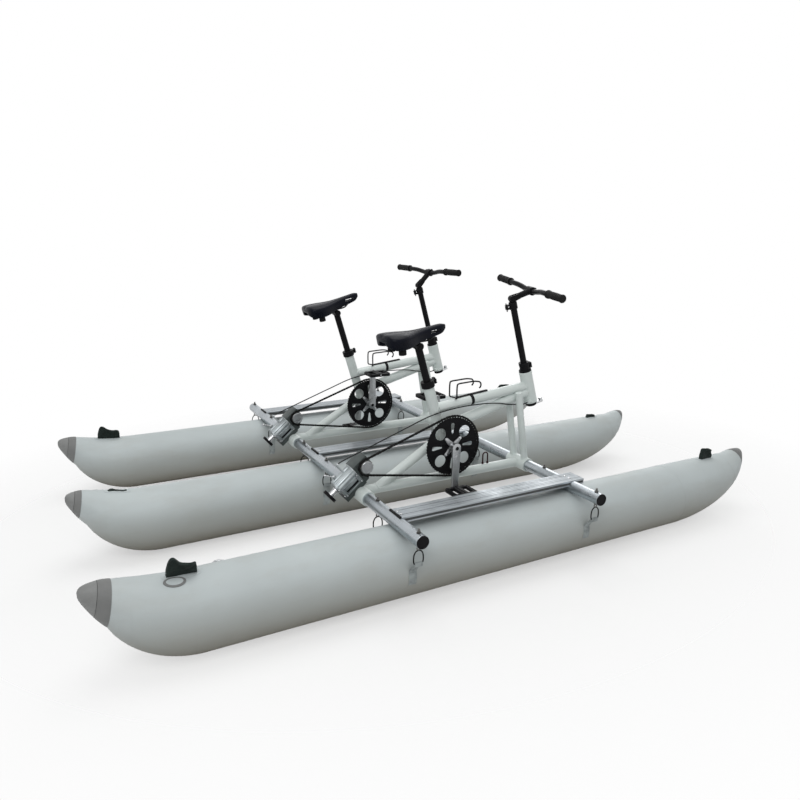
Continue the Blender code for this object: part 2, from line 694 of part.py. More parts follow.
def make_bottle_cages():
    """Bent wire cages that stand on the top tubes."""
    slope = (TOP_TUBE[1][1] - TOP_TUBE[0][1]) / (TOP_TUBE[1][0] - TOP_TUBE[0][0])
    lift = TOP_TUBE_RADIUS * math.sqrt(1 + slope * slope) + CAGE_WIRE + FIT

    def over_tube(x):
        return TOP_TUBE[0][1] + slope * (x - TOP_TUBE[0][0]) + lift + 0.0002

    hook = arc((0.092, 0.670), 0.015, 80, -60, 5)
    halves = []
    for side in (-1, 1):
        base_y = side * (CAGE_WIRE + 0.001)
        wide = side * 0.028
        points = [(0.150, base_y, over_tube(0.150)), (0.010, base_y, over_tube(0.010)),
                  (-0.006, side * 0.012, over_tube(-0.006) + 0.002), (-0.010, wide, over_tube(-0.010) + 0.004),
                  (-0.010, wide, 0.676), (-0.004, wide, 0.684), (0.070, wide, 0.688)]
        halves.append(points + [(x, wide, z) for x, z in hook])
    front = [(0.156, 0.0, over_tube(0.156))]
    on_both_bikes("bottle_cage", wire(halves[0][::-1] + front + halves[1], CAGE_WIRE, 1), BLACK_PAINT)


def make_lashing_loop():
    """The small lashing hoop with ball feet on the starboard bottom rail."""
    foot_z = BEAM_Z + RAIL_RADIUS + FIT
    hoop = [(0.0125, 0.0, foot_z + 0.004), (0.0125, 0.0, foot_z + 0.038),
            *[(x, 0.0, z) for x, z in arc((0.0, foot_z + 0.038), 0.0125, 30, 150, 4)],
            (-0.0125, 0.0, foot_z + 0.038), (-0.0125, 0.0, foot_z + 0.004)]
    solid = wire(hoop, 0.002, 1)
    for side in (-1, 1):
        foot = rod((side * 0.0125, 0, foot_z), (side * 0.0125, 0, foot_z + 0.008), 0.0045, 8, 0.003)
        solid = join(solid, foot)
    piece("lashing_loop", moved(solid, shift(0.163, BIKE_Y["starboard"])), BLACK_RUBBER)


# Chain drive
def chain_loop(extra):
    """The closed path round chainwheel and sprocket, a little outside their tips."""
    big = wheel_radius(CHAINWHEEL_TEETH) + extra
    small = wheel_radius(SPROCKET_TEETH) + extra
    centre = SHAFT_PLACE.translation
    small_at = Vector((centre.x, centre.z))
    big_at = Vector(CRANK_AXIS)
    between = big_at - small_at
    heading = math.degrees(math.atan2(between.y, between.x))
    lean = math.degrees(math.acos((big - small) / between.length))
    big_count = 20
    small_count = 9
    big_step = (360 - 2 * lean) / (big_count - 1)
    small_step = 2 * lean / (small_count - 1)
    big_round = big / math.cos(math.radians(big_step / 2))
    small_round = small / math.cos(math.radians(small_step / 2))
    front = arc(big_at, big_round, heading + 180 - lean, heading - 180 + lean, big_count)
    rear = arc(small_at, small_round, heading - 180 + lean, heading - 180 - lean, small_count)
    return front + rear


def make_chains():
    """A chain on each bike, as one closed band that the teeth run in."""
    outer = chain_loop(RUNNING_GAP + CHAIN_THICKNESS)
    inner = chain_loop(RUNNING_GAP)
    band = moved(plate(outer, CHAIN_WIDTH, [inner]), shift(y=CHAIN_Y) @ turn(90, "X"))
    on_both_bikes("drive_chain", band, BLACK_PAINT)


def toothed_outline(teeth, tip, root):
    """Pointed teeth round a chain wheel."""
    outline = []
    for tooth in range(teeth):
        for part, radius in ((0.0, tip), (0.5, root)):
            angle = 2 * math.pi * (tooth + part) / teeth
            outline.append((radius * math.cos(angle), radius * math.sin(angle)))
    return outline


def chainwheel_mesh():
    """The big chainwheel with four ovals and four keyhole slots, flat in XZ about the crank axis."""
    tip = wheel_radius(CHAINWHEEL_TEETH)
    holes = [circle((0, 0), 0.0120, 10)]
    oval = [(WHEEL_OVAL_RADIUS + WHEEL_OVAL_HALVES[0] * x, WHEEL_OVAL_HALVES[1] * z)
            for x, z in circle((0, 0), 1.0, 12)]
    outer_at, outer_radius = WHEEL_SLOT_OUTER
    inner_at, inner_radius = WHEEL_SLOT_INNER
    slot = arc((outer_at, 0.0), outer_radius, -90, 90, 5) + arc((inner_at, 0.0), inner_radius, 90, 270, 3)
    for quarter in range(4):
        way = 45 + 90 * quarter
        holes.append(spun(oval, way))
        holes.append(spun(slot, way + 45))
    outline = toothed_outline(CHAINWHEEL_TEETH, tip, tip - TOOTH_HEIGHT)
    return moved(plate(outline, WHEEL_THICKNESS, holes), shift(y=CHAIN_Y) @ turn(90, "X"))


def spun(points, degrees):
    """Points of a flat outline turned about its centre."""
    angle = math.radians(degrees)
    return [(x * math.cos(angle) - y * math.sin(angle), x * math.sin(angle) + y * math.cos(angle))
            for x, y in points]


def crank_arm(side):
    """One crank, tapered from its boss to the pedal's eye, with the pedal's axle."""
    boss, eye = 0.0175, 0.0120
    lean = math.degrees(math.asin((boss - eye) / CRANK_LENGTH))
    outline = arc((0, 0), boss, lean, 180 - lean, 6)
    outline += arc((0, -CRANK_LENGTH), eye, 180 - lean, 360 + lean, 6)
    arm = moved(plate(outline, CRANK_THICKNESS), shift(y=side * CRANK_OFFSET) @ turn(90, "X"))
    start = side * (CRANK_OFFSET - 0.004)
    end = side * (CRANK_OFFSET + CRANK_THICKNESS / 2 + PEDAL_WIDTH + 0.001)
    axle = rod((0, start, -CRANK_LENGTH), (0, end, -CRANK_LENGTH), PEDAL_AXLE_RADIUS, 10)
    return join(arm, axle)


def crankset_mesh():
    """Right crank with its four-arm spider, spindle and left crank, about the crank axis."""
    right = crank_arm(-1)
    left = moved(crank_arm(1), turn(180, "Y"))
    spindle = rod((0, -CRANK_OFFSET, 0), (0, CRANK_OFFSET, 0), SPINDLE_RADIUS, 12)
    spider_y = CHAIN_Y - WHEEL_THICKNESS / 2 - FIT
    spider = []
    for arm in range(4):
        way = 45 + 90 * arm
        spider += spun([(0.050, -0.0050), (0.052, 0.0), (0.050, 0.0050)], way)
        spider += spun([(0.0145, 0.0)], way + 45)
    star = moved(plate(spider, 0.005), shift(y=spider_y - 0.0025) @ turn(90, "X"))
    boss = rod((0, -CRANK_OFFSET, 0), (0, spider_y, 0), 0.0160, 12)
    hub = rod((0, spider_y - 0.001, 0), (0, -SHELL_HALF_WIDTH - RUNNING_GAP, 0), 0.0112, 10)
    return join(spindle, boss, hub, star, right, left)


def pedal_mesh(side):
    """A cage pedal about its axle, with treads across and a window each side of the barrel."""
    half = PEDAL_LENGTH / 2
    near = side * (CRANK_OFFSET + CRANK_THICKNESS / 2 + RUNNING_GAP)
    far = near + side * PEDAL_WIDTH
    low_y, high_y = sorted((near, far))
    corner = 0.010
    outline = [(-half, low_y + corner), (-half + corner, low_y), (half - corner, low_y), (half, low_y + corner),
               (half, high_y - corner), (half - corner, high_y), (-half + corner, high_y),
               (-half, high_y - corner)]
    windows = []
    for way in (-1, 1):
        inner_x = way * 0.014
        outer_x = way * (half - 0.011)
        windows.append([(inner_x, low_y + 0.011), (outer_x, low_y + 0.014),
                        (outer_x, high_y - 0.014), (inner_x, high_y - 0.011)])
    cage = plate(outline, PEDAL_THICKNESS, windows)
    room = bore((0, low_y - 0.01, 0), (0, high_y + 0.01, 0), PEDAL_AXLE_RADIUS, 10)
    return cut(cage, room)


def make_cranks():
    """Chainwheel, crankset and both pedals of each bike."""
    wheel = chainwheel_mesh()
    crankset = crankset_mesh()
    pedals = {"right": pedal_mesh(-1), "left": pedal_mesh(1)}
    for bike, y in BIKE_Y.items():
        axis = shift(CRANK_AXIS[0], y, CRANK_AXIS[1])
        turned_crank = axis @ turn(CRANK_TURN[bike], "Y")
        piece("chainwheel_" + bike, wheel.copy(), BLACK_PAINT, axis)
        piece("crankset_" + bike, crankset.copy(), CAST, turned_crank)
        for side, way in (("right", -1), ("left", 1)):
            end = turned_crank @ Vector((0.0, 0.0, way * CRANK_LENGTH))
            piece(side + "_pedal_" + bike, pedals[side].copy(), BLACK_RUBBER, Matrix.Translation(end))


def bevel_gear(first_tooth):
    """A mitre gear about X whose cone comes to its point at x = 0; the big end faces -X."""
    tip = BEVEL_RADIUS + 0.0012
    root = BEVEL_RADIUS - 0.0022
    ring = []
    for tooth in range(BEVEL_TEETH):
        for part, radius in ((0.0, tip), (0.5, root)):
            angle = first_tooth + 2 * math.pi * (tooth + part) / BEVEL_TEETH
            ring.append(Vector((-BEVEL_RADIUS, radius * math.cos(angle), radius * math.sin(angle))))
    return loft([ring, [point * 0.62 for point in ring]])


def ribbed_outline():
    """End view of the drive housing: flat below, round and ribbed above."""
    half = HOUSING_HALF_WIDTH
    centre = HOUSING_CENTRE
    ribs = 7
    outline = [(half - 0.002, HOUSING_FOOT), (half - 0.002, centre - 0.004)]
    for rib in range(ribs):
        middle = 180 * (rib + 0.5) / ribs
        for offset, radius in ((-9.0, half - 0.003), (-5.0, half), (5.0, half), (9.0, half - 0.003)):
            angle = math.radians(middle + offset)
            outline.append((radius * math.cos(angle), centre + radius * math.sin(angle)))
    outline += [(-half + 0.002, centre - 0.004), (-half + 0.002, HOUSING_FOOT)]
    return outline


def along_a(mesh, start, end):
    """Stand a flat outline across the drive's axis, between two places along it."""
    return moved(mesh, shift((start + end) / 2) @ ACROSS_X)


def housing_mesh():
    """Drive housing with end plates, ribs, a side recess, the shaft's bore and the cable's stop."""
    body = along_a(plate(ribbed_outline(), HOUSING_FRONT - HOUSING_REAR - 0.006),
                   HOUSING_REAR + 0.003, HOUSING_FRONT - 0.003)
    half = HOUSING_HALF_WIDTH + 0.001
    end_outline = [(half, HOUSING_FOOT), *arc((0.0, HOUSING_CENTRE), half, 0, 180, 9), (-half, HOUSING_FOOT)]
    for start in (HOUSING_REAR, HOUSING_FRONT - 0.005):
        body = join(body, along_a(plate(end_outline, 0.005), start, start + 0.005))
    inside_top = HOUSING_TOP - 0.006
    stop = block((CABLE_REST[0] - 0.006, -0.007, inside_top), (CABLE_REST[0], 0.007, CABLE_REST[1] + 0.008))
    pin_a, pin_b = DRIVE_LEVER_PIN
    lug = block((pin_a - 0.006, 0.0042, inside_top), (pin_a + 0.006, 0.009, pin_b + 0.006))
    pin = rod((pin_a, -0.006, pin_b), (pin_a, 0.006, pin_b), DRIVE_PIN_RADIUS, 8)
    recess = block((-0.036, -HOUSING_HALF_WIDTH - 0.01, HOUSING_FOOT + 0.009),
                   (0.026, -HOUSING_HALF_WIDTH + 0.006, HOUSING_FOOT + 0.033))
    shaft_room = bore((HOUSING_REAR - 0.01, 0, SHAFT_B), (HOUSING_FRONT + 0.01, 0, SHAFT_B), SHAFT_RADIUS)
    return cut(join(body, stop, lug, pin), recess, shaft_room)


def bracket_mesh():
    """Dark casting that clamps on the sleeve, carries the housing and encloses the bevel gears."""
    foot_low = SLEEVE_RADIUS + FIT
    foot = block((-0.060, -0.031, foot_low - 0.010), (HOUSING_FRONT + FIT + 0.004, 0.031, HOUSING_FOOT - FIT))
    case = block((HOUSING_FRONT + FIT, -0.034, 0.028), (CASE_FRONT, 0.034, 0.112))
    case_low_front = moved(block((0.0, -0.05, -0.06), (0.09, 0.05, 0.0)),
                           shift(0.062, 0.0, 0.030) @ turn(-38, "Y"))
    inside = block((HOUSING_FRONT + FIT + CASE_WALL, -0.034 + CASE_WALL, SHAFT_B - 0.024),
                   (CASE_FRONT - CASE_WALL, 0.034 - CASE_WALL, SHAFT_B + 0.024))
    sleeve = bore((0, -0.06, 0), (0, 0.06, 0), SLEEVE_RADIUS, 16, FIT)
    out_bore = bore((0.03, 0, SHAFT_B), (SHAFT_A, 0, SHAFT_B), SHAFT_RADIUS)
    in_bore = bore((SHAFT_A, -0.06, SHAFT_B), (SHAFT_A, 0.0, SHAFT_B), INPUT_RADIUS)
    ribs = [block((x, -0.0365, 0.055), (x + 0.004, -0.033, 0.108)) for x in (0.048, 0.060, 0.102)]
    solid = join(foot, case, *ribs)
    stay_room = moved(rod((STAY_LOW_X, 0, BEAM_Z), flat(STAY_TOP), STAY_RADIUS + 2 * FIT, 20),
                      DRIVE_PLACE.inverted())
    rail_room = moved(rod((REAR_BEAM_X, 0, BEAM_Z), (0, 0, BEAM_Z), RAIL_RADIUS + 2 * FIT, 20),
                      DRIVE_PLACE.inverted())
    return cut(solid, case_low_front, inside, sleeve, out_bore, in_bore, stay_room, rail_room)


def input_shaft_mesh():
    """Sprocket, its cover disc and shaft, and the bevel gear behind it, about Y."""
    tip = wheel_radius(SPROCKET_TEETH)
    wheel = moved(plate(toothed_outline(SPROCKET_TEETH, tip, tip - TOOTH_HEIGHT), WHEEL_THICKNESS),
                  shift(y=CHAIN_Y) @ turn(90, "X"))
    face = CHAIN_Y - WHEEL_THICKNESS / 2 + 0.001
    hub = -BEVEL_RADIUS - BEVEL_HUB_LENGTH
    profile = [(0.0, face - 0.005), (tip - 0.006, face - 0.005), (tip - 0.0045, face - 0.003), (tip - 0.0045, face),
               (INPUT_RADIUS, face), (INPUT_RADIUS, hub), (BEVEL_HUB_RADIUS, hub),
               (BEVEL_HUB_RADIUS, -BEVEL_RADIUS + 0.002), (0.0, -BEVEL_RADIUS + 0.002)]
    core = moved(turned(profile[::-1], 12), turn(-90, "X"))
    gear = moved(bevel_gear(math.pi / BEVEL_TEETH), turn(90, "Z"))
    return join(core, wheel, gear)


def output_shaft_mesh():
    """Bevel gear, shaft, neck and coupling flange, about X with the shafts crossing at x = 0."""
    start = FLANGE_A - SHAFT_A
    inner = start + FLANGE_THICKNESS
    wall = HOUSING_REAR - SHAFT_A - RUNNING_GAP
    hub = -BEVEL_RADIUS - BEVEL_HUB_LENGTH
    profile = [(0.0, -BEVEL_RADIUS + 0.002), (BEVEL_HUB_RADIUS, -BEVEL_RADIUS + 0.002), (BEVEL_HUB_RADIUS, hub),
               (SHAFT_RADIUS, hub), (SHAFT_RADIUS, wall), (0.0135, wall), (0.0135, inner),
               (FLANGE_RADIUS, inner), (FLANGE_RADIUS, start), (0.0, start)]
    core = moved(turned(profile, 12), turn(90, "Y"))
    return join(core, bevel_gear(math.pi))


def make_drives():
    """Housing, bracket, shafts and steering lever of each drive."""
    on_both_bikes("gear_housing", housing_mesh(), CAST, DRIVE_PLACE)
    on_both_bikes("drive_bracket", bracket_mesh(), DARK_CAST, DRIVE_PLACE)
    pin_room = bore((0, -0.01, 0), (0, 0.01, 0), DRIVE_PIN_RADIUS, 8)
    boss = cut(rod((0, -0.0036, 0), (0, 0.0036, 0), 0.0070, 10), pin_room)
    arm = rod((-0.003, 0, 0.0052), (-0.020, 0, 0.034), 0.0024, 6)
    knob = rod((-0.0205, -0.005, 0.0335), (-0.0205, 0.005, 0.0335), 0.0042, 8)
    lever = join(boss, arm, knob)
    input_shaft = input_shaft_mesh()
    output_shaft = output_shaft_mesh()
    for bike, y in BIKE_Y.items():
        side = shift(y=y)
        piece("input_shaft_" + bike, input_shaft.copy(), STEEL, side @ SHAFT_PLACE)
        piece("output_shaft_" + bike, output_shaft.copy(), STEEL, side @ SHAFT_PLACE)
        pivot = side @ DRIVE_PLACE @ shift(*flat(DRIVE_LEVER_PIN))
        piece("drive_lever_" + bike, lever.copy(), STEEL, pivot)


def make_cables():
    """The steering cable from the drive's stop to the head tube, held along the frame."""
    start = DRIVE_PLACE @ Vector((CABLE_REST[0] + FIT, 0.0, CABLE_REST[1]))
    end = HEAD_PLACE @ Vector((CABLE_STOP[0] - 2 * FIT, CABLE_STOP[1], CABLE_STOP[2]))
    lead_in = HEAD_PLACE @ Vector((CABLE_STOP[0] - 0.010, CABLE_STOP[1], CABLE_STOP[2]))
    route = [tuple(start), (-0.510, -0.001, 0.425), (-0.400, -0.012, 0.468), (-0.250, -0.024, 0.525),
             (-0.130, -0.0285, 0.566), (0.000, -0.0285, 0.585), (0.120, -0.0285, 0.5865),
             (0.200, -0.0285, 0.5800), (0.245, -0.0275, 0.5700), (0.272, -0.0245, 0.5655),
             (0.290, -0.0190, 0.5625), (0.312, -0.0190, 0.5600), (0.335, -0.0205, 0.5580),
             tuple(lead_in), tuple(end)]
    cable = wire(route, CABLE_RADIUS, 1)
    on_both_bikes("steering_cable", cable, BLACK_RUBBER)


# Steering parts, drawn about the head tube's axis
def steerer_mesh():
    """Steerer tube with the clamp collar above the head tube and the steering arm below."""
    inside = MAST_RADIUS + FIT
    collar_low = HEAD_HIGH + 2 * FIT
    collar_top = collar_low + COLLAR_HEIGHT
    foot_top = HEAD_LOW - 2 * FIT
    foot_low = foot_top - 0.014
    profile = [(inside, collar_top), (COLLAR_RADIUS, collar_top),
               (COLLAR_RADIUS, collar_low), (STEERER_RADIUS, collar_low), (STEERER_RADIUS, foot_top),
               (0.0235, foot_top), (0.0235, foot_low), (0.0, foot_low)]
    blind = MAST_FOOT - 0.004
    body = turned([(0.0, blind), (inside, blind), *profile], 12)
    arm = block((0.0, -0.008, foot_low), (ARM_LENGTH, 0.008, foot_low + 0.008))
    anchor = rod((ARM_LENGTH, 0, foot_low), (ARM_LENGTH, 0, foot_low + 0.020), 0.0085, 10)
    clamp = block((0.020, -0.010, collar_low + 0.010), (0.032, 0.010, collar_low + 0.034))
    return join(body, arm, anchor, clamp)


def mast_mesh():
    """The round mast and the tongue at its top that the stem pivots on."""
    tube = rod((0, 0, MAST_FOOT), (0, 0, MAST_TOP - 0.001), MAST_RADIUS)
    clamp = rod((0, 0, MAST_TOP - 0.030), (0, 0, MAST_TOP), 0.0175)
    ears = block((-0.034, -0.008, MAST_TOP - 0.026), (-0.010, 0.008, MAST_TOP - 0.006))
    eye = [(-0.0110, MAST_TOP - 0.005), (0.0110, MAST_TOP - 0.005),
           *arc((0.0, PIVOT_HEIGHT), 0.0120, 0, 180, 7)]
    tongue = moved(plate(eye, 0.012), turn(90, "X"))
    pin = rod((0, -0.0150, PIVOT_HEIGHT), (0, 0.0150, PIVOT_HEIGHT), STEM_PIN_RADIUS, 6)
    pin_x = STEM_LEVER_PIN[0]
    lever_pin = rod((pin_x, 0.0, MAST_TOP - 0.034), (pin_x, 0.0, MAST_TOP + 0.002), LEVER_PIN_RADIUS, 6)
    slot = block((-0.040, -0.009, MAST_TOP - 0.020), (-0.0205, 0.009, MAST_TOP - 0.012))
    return join(cut(join(tube, clamp, ears), slot), tongue, pin, lever_pin)


def stem_mesh():
    """Stem about its pivot: a fork round the tongue, an arm and the handlebar clamp."""
    cheek = [*arc((0.0, 0.0), 0.0125, 75, 285, 7), *arc((0.030, 0.0), 0.010, -80, 80, 3)]
    fork = moved(plate(cheek, 0.0246), turn(90, "X"))
    arm = rod((0.0255, 0, 0), (STEM_LENGTH - 0.008, 0, 0), 0.0120, 12, 0.0135)
    clamp = rod((STEM_LENGTH, -0.022, 0), (STEM_LENGTH, 0.022, 0), 0.0175)
    bar_room = bore((STEM_LENGTH, -0.04, 0), (STEM_LENGTH, 0.04, 0), BAR_RADIUS, 12, FIT)
    pin_room = bore((0, -0.03, 0), (0, 0.03, 0), STEM_PIN_RADIUS, 6)
    tongue_room = block((-0.02, -0.006 - FIT, -0.02), (0.0150, 0.006 + FIT, 0.02))
    return cut(join(arm, fork, clamp), tongue_room, pin_room, bar_room)


def bar_points():
    """Hand-chosen bends of the handlebar, about its clamp."""
    half = [(0.0, 0.0, 0.0), (0.0, 0.030, 0.0), (0.001, 0.065, 0.004), (-0.003, 0.110, 0.012),
            (-0.007, 0.165, 0.0155), (-0.007, BAR_HALF_WIDTH, 0.017)]
    left = [(x, -y, z) for x, y, z in reversed(half[1:])]
    return left + half


def grip_mesh():
    """The starboard grip, with a flange inside and a bulge at the closed end."""
    inside = (BAR_RADIUS + FIT) / math.cos(math.pi / 8)
    length = GRIP_LENGTH
    profile = [(0.0, 0.004), (GRIP_RADIUS - 0.002, 0.004), (GRIP_RADIUS + 0.0015, -0.002),
               (GRIP_RADIUS - 0.001, -0.030), (GRIP_RADIUS - 0.001, -length + 0.014),
               (GRIP_RADIUS + 0.0020, -length + 0.008), (GRIP_RADIUS + 0.0020, -length),
               (inside, -length), (inside, 2 * FIT), (0.0, 2 * FIT)]
    grip = turned(profile, 8)
    end = Vector(bar_points()[0])
    inner = Vector(bar_points()[1])
    aim = (end - inner).to_track_quat("Z", "Y").to_matrix().to_4x4()
    return moved(grip, Matrix.Translation(end) @ aim)


def lever_mesh(length):
    """A quick-release lever that swings about Z from its pivot ring."""
    pin_room = bore((0, 0, -0.01), (0, 0, 0.01), LEVER_PIN_RADIUS, 6)
    ring = cut(rod((0, 0, -0.0036), (0, 0, 0.0036), 0.0065, 10), pin_room)
    handle = plate([(0.004, -0.004), (0.014, -0.0065), (length * 0.6, -0.0085), (length, -0.0055),
                    (length, 0.0015), (length * 0.6, -0.0030), (0.014, 0.0), (0.004, 0.004)], LEVER_THICKNESS)
    return join(ring, handle)


def make_steering():
    """Steerer, mast, stem, handlebar, grips and stem lever of each bike, at its own rest pose."""
    steerer = steerer_mesh()
    mast = mast_mesh()
    stem = stem_mesh()
    bar = wire(bar_points(), BAR_RADIUS, 2)
    grips = {"right": grip_mesh(), "left": moved(grip_mesh(), Matrix.Diagonal((1.0, -1.0, 1.0, 1.0)))}
    lever = lever_mesh(STEM_LEVER_LENGTH)
    pin_x, pin_drop = STEM_LEVER_PIN
    for bike, y in BIKE_Y.items():
        axis = shift(y=y) @ HEAD_PLACE @ turn(STEER_TURN[bike], "Z")
        piece("steerer_" + bike, steerer.copy(), BLACK_PAINT, axis)
        piece("mast_" + bike, mast.copy(), BLACK_PAINT, axis)
        pivot = axis @ shift(z=PIVOT_HEIGHT) @ turn(-STEM_RISE[bike], "Y")
        piece("stem_" + bike, stem.copy(), BLACK_PAINT, pivot)
        clamp = pivot @ shift(x=STEM_LENGTH) @ turn(STEM_RISE[bike], "Y")
        piece("handlebar_" + bike, bar.copy(), BLACK_PAINT, clamp)
        for side, grip in grips.items():
            piece(side + "_grip_" + bike, grip.copy(), BLACK_RUBBER, clamp)
        cam = axis @ shift(pin_x, 0.0, MAST_TOP - pin_drop) @ turn(STEM_LEVER_REST, "Z")
        piece("stem_lever_" + bike, lever.copy(), BLACK_PAINT, cam)


# Seat parts, drawn about the seat tube's axis
def saddle_section(x, half, top, low):
    """One section of the saddle: crowned above, drawn in at the sides, hollow below."""
    points = []
    for step in range(SADDLE_CROWN_STEPS + 1):
        angle = math.pi * step / SADDLE_CROWN_STEPS
        points.append((x, half * math.cos(angle), top - 0.45 * (top - low) * (1 - math.sin(angle)) ** 1.2))
    roof = max(low + 0.002, top - SADDLE_PAD)
    below = [(0.94, low + 0.30 * (top - low)), (0.82, low), (0.66, low + 0.001), (0.50, roof)]
    points += [(x, -half * share, z) for share, z in below]
    points += [(x, half * share, z) for share, z in reversed(below)]
    return [Vector(point) for point in points]


def saddle_mesh():
    """Saddle about its tilt axis: padded shell with a slotted nose, two rails and rear bumpers."""
    back = -SADDLE_LENGTH * 0.55
    wide = SADDLE_WIDTH / 2
    stations = [(0.00, 0.55, 0.060, 0.041), (0.035, 0.86, 0.070, 0.029), (0.12, 1.00, 0.071, 0.021),
                (0.25, 0.93, 0.069, 0.018), (0.38, 0.72, 0.066, 0.020), (0.50, 0.50, 0.065, 0.026),
                (0.64, 0.33, 0.067, 0.030), (0.80, 0.25, 0.070, 0.034), (0.93, 0.21, 0.072, 0.041),
                (1.00, 0.11, 0.068, 0.053)]
    shell = loft([saddle_section(back + SADDLE_LENGTH * along, wide * half, top, low)
                  for along, half, top, low in stations])
    slot_x = back + SADDLE_LENGTH * 0.80
    slot = block((slot_x - 0.016, -0.05, 0.046), (slot_x + 0.026, 0.05, 0.053))
    shell = cut(shell, slot)
    rail_z = HEAD_CLAMP_RADIUS + RAIL_WIRE + FIT
    for side in (-1, 1):
        rail = wire([(0.088, side * 0.008, 0.045), (0.060, side * 0.011, rail_z + 0.010),
                     (0.034, side * RAIL_HALF_GAUGE, rail_z), (-0.040, side * RAIL_HALF_GAUGE, rail_z),
                     (-0.074, side * 0.032, rail_z - 0.004), (-0.094, side * 0.044, rail_z + 0.006)],
                    RAIL_WIRE, 1)
        bumper = rod((-0.094, side * 0.046, -0.006), (-0.094, side * 0.046, 0.052), 0.0135, 8, 0.011)
        shell = join(shell, rail, bumper)
    return shell


def post_mesh():
    """Seat post with the round clamp head that the saddle's rails tilt about."""
    tube = rod((0, 0, -POST_LENGTH), (0, 0, -0.002), POST_RADIUS)
    half = RAIL_HALF_GAUGE + 2 * RAIL_WIRE
    return join(tube, rod((0, -half, 0), (0, half, 0), HEAD_CLAMP_RADIUS, 20))


def collar_mesh():
    """Clamp collar round the seat tube's top with two ears for the quick release."""
    low, high = -0.022, 0.004
    inner = SEAT_TUBE_RADIUS + FIT
    lip = POST_RADIUS + FIT
    profile = [(0.0275, high), (0.0275, low), (inner, low), (inner, 2 * FIT), (lip, 2 * FIT), (lip, high)]
    ring = turned(profile, 12)
    ears = block((0.0255, -0.008, low + 0.004), (0.040, 0.008, high - 0.002))
    pin_x = SEAT_LEVER_PIN[0]
    pin = rod((pin_x, 0, low + 0.001), (pin_x, 0, high + 0.001), LEVER_PIN_RADIUS, 6)
    slot = block((0.0290, -0.009, -0.0135), (0.045, 0.009, -0.0045))
    return join(cut(join(ring, ears), slot), pin)


def make_seats():
    """Collar, lever, post and saddle of each bike, at its own height and tilt."""
    on_both_bikes("seat_collar", collar_mesh(), BLACK_PAINT, SEAT_PLACE)
    lever = lever_mesh(SEAT_LEVER_LENGTH)
    post = post_mesh()
    saddle = saddle_mesh()
    for bike, y in BIKE_Y.items():
        axis = shift(y=y) @ SEAT_PLACE
        cam = axis @ shift(*flat(SEAT_LEVER_PIN)) @ turn(SEAT_LEVER_REST, "Z")
        piece("seat_lever_" + bike, lever.copy(), BLACK_PAINT, cam)
        top = axis @ shift(z=POST_OUT[bike])
        piece("seat_post_" + bike, post.copy(), BLACK_PAINT, top)
        level = Matrix.Translation(top.translation) @ turn(-SADDLE_TILT[bike], "Y")
        piece("saddle_" + bike, saddle.copy(), BLACK_RUBBER, level)


make_pontoons()
make_beams()
make_planks()
make_lower_frame()
make_main_frame()
make_bottle_cages()
make_lashing_loop()
make_chains()
make_cranks()
make_drives()
make_cables()
make_steering()
make_seats()
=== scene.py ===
"""Looks for a two-seat pedal water bike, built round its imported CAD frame.

Metres. +X is the bow, +Y is port and +Z is up. Each piece is drawn where it belongs and rides on a CAD body.
"""

import json
import math
from collections import namedtuple

import bmesh
import bpy
from mathutils import Matrix, Vector


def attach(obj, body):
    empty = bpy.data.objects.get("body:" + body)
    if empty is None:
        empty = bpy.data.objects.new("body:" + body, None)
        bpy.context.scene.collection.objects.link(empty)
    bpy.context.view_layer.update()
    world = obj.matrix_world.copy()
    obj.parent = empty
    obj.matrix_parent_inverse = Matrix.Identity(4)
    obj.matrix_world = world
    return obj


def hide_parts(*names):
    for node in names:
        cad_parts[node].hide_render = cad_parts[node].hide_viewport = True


bl_info = {
    "name": "Water bike",
    "version": (1, 0, 0),
    "blender": (4, 5, 0),
    "location": "3D View > Sidebar > Water bike",
    "description": "Builds the visible pieces, the finishes and the studio of a two-seat pedal water bike",
    "category": "Add Mesh",
}

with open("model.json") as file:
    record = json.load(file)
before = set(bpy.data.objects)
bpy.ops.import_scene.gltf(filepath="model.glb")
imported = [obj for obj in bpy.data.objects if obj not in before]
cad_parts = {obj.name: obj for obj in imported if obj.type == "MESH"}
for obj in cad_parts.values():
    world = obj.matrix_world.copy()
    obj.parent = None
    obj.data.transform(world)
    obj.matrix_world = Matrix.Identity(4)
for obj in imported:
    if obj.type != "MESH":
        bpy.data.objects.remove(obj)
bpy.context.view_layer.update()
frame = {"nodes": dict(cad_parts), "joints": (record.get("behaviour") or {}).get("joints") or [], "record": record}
JOINTS = {row["name"]: row for row in frame["joints"]}
BIKES = ("starboard", "port")
SIDES = {"right": -1, "left": 1}
BIKE_Y = {bike: JOINTS["crank_spin_" + bike]["pos_m"][1] for bike in BIKES}
PONTOONS = {"starboard": -0.787, "centre": 0.0, "port": 0.787}

# Places and sizes that the CAD source states
FIT = 0.0003
PONTOON_RADIUS = 0.1316
# A pontoon's end: where its straight part stops, then the cone's top, low edge and tip as x and z
SkinEnd = namedtuple("SkinEnd", "run top low tip")
STERN = SkinEnd(1.13, (1.376, 0.291), (1.404, 0.158), (1.469, 0.276))
BOW = SkinEnd(0.93, (1.36, 0.266), (1.404, 0.146), (1.458, 0.266))
BOW_SHIFT = {"starboard": -0.011, "centre": 0.011, "port": 0.0}
STERN_CREST = ((-0.5, 0.0), (-0.5, 0.42), (-0.42, 0.95), (-0.28, 1.0), (-0.08, 0.84), (0.14, 0.74),
               (0.34, 0.78), (0.47, 0.6), (0.5, 0.3), (0.48, 0.0))
BOW_CREST = ((-0.5, 0.0), (-0.49, 0.45), (-0.36, 0.8), (-0.16, 0.97), (0.08, 1.0), (0.28, 0.92), (0.43, 0.7),
             (0.5, 0.35), (0.49, 0.0))
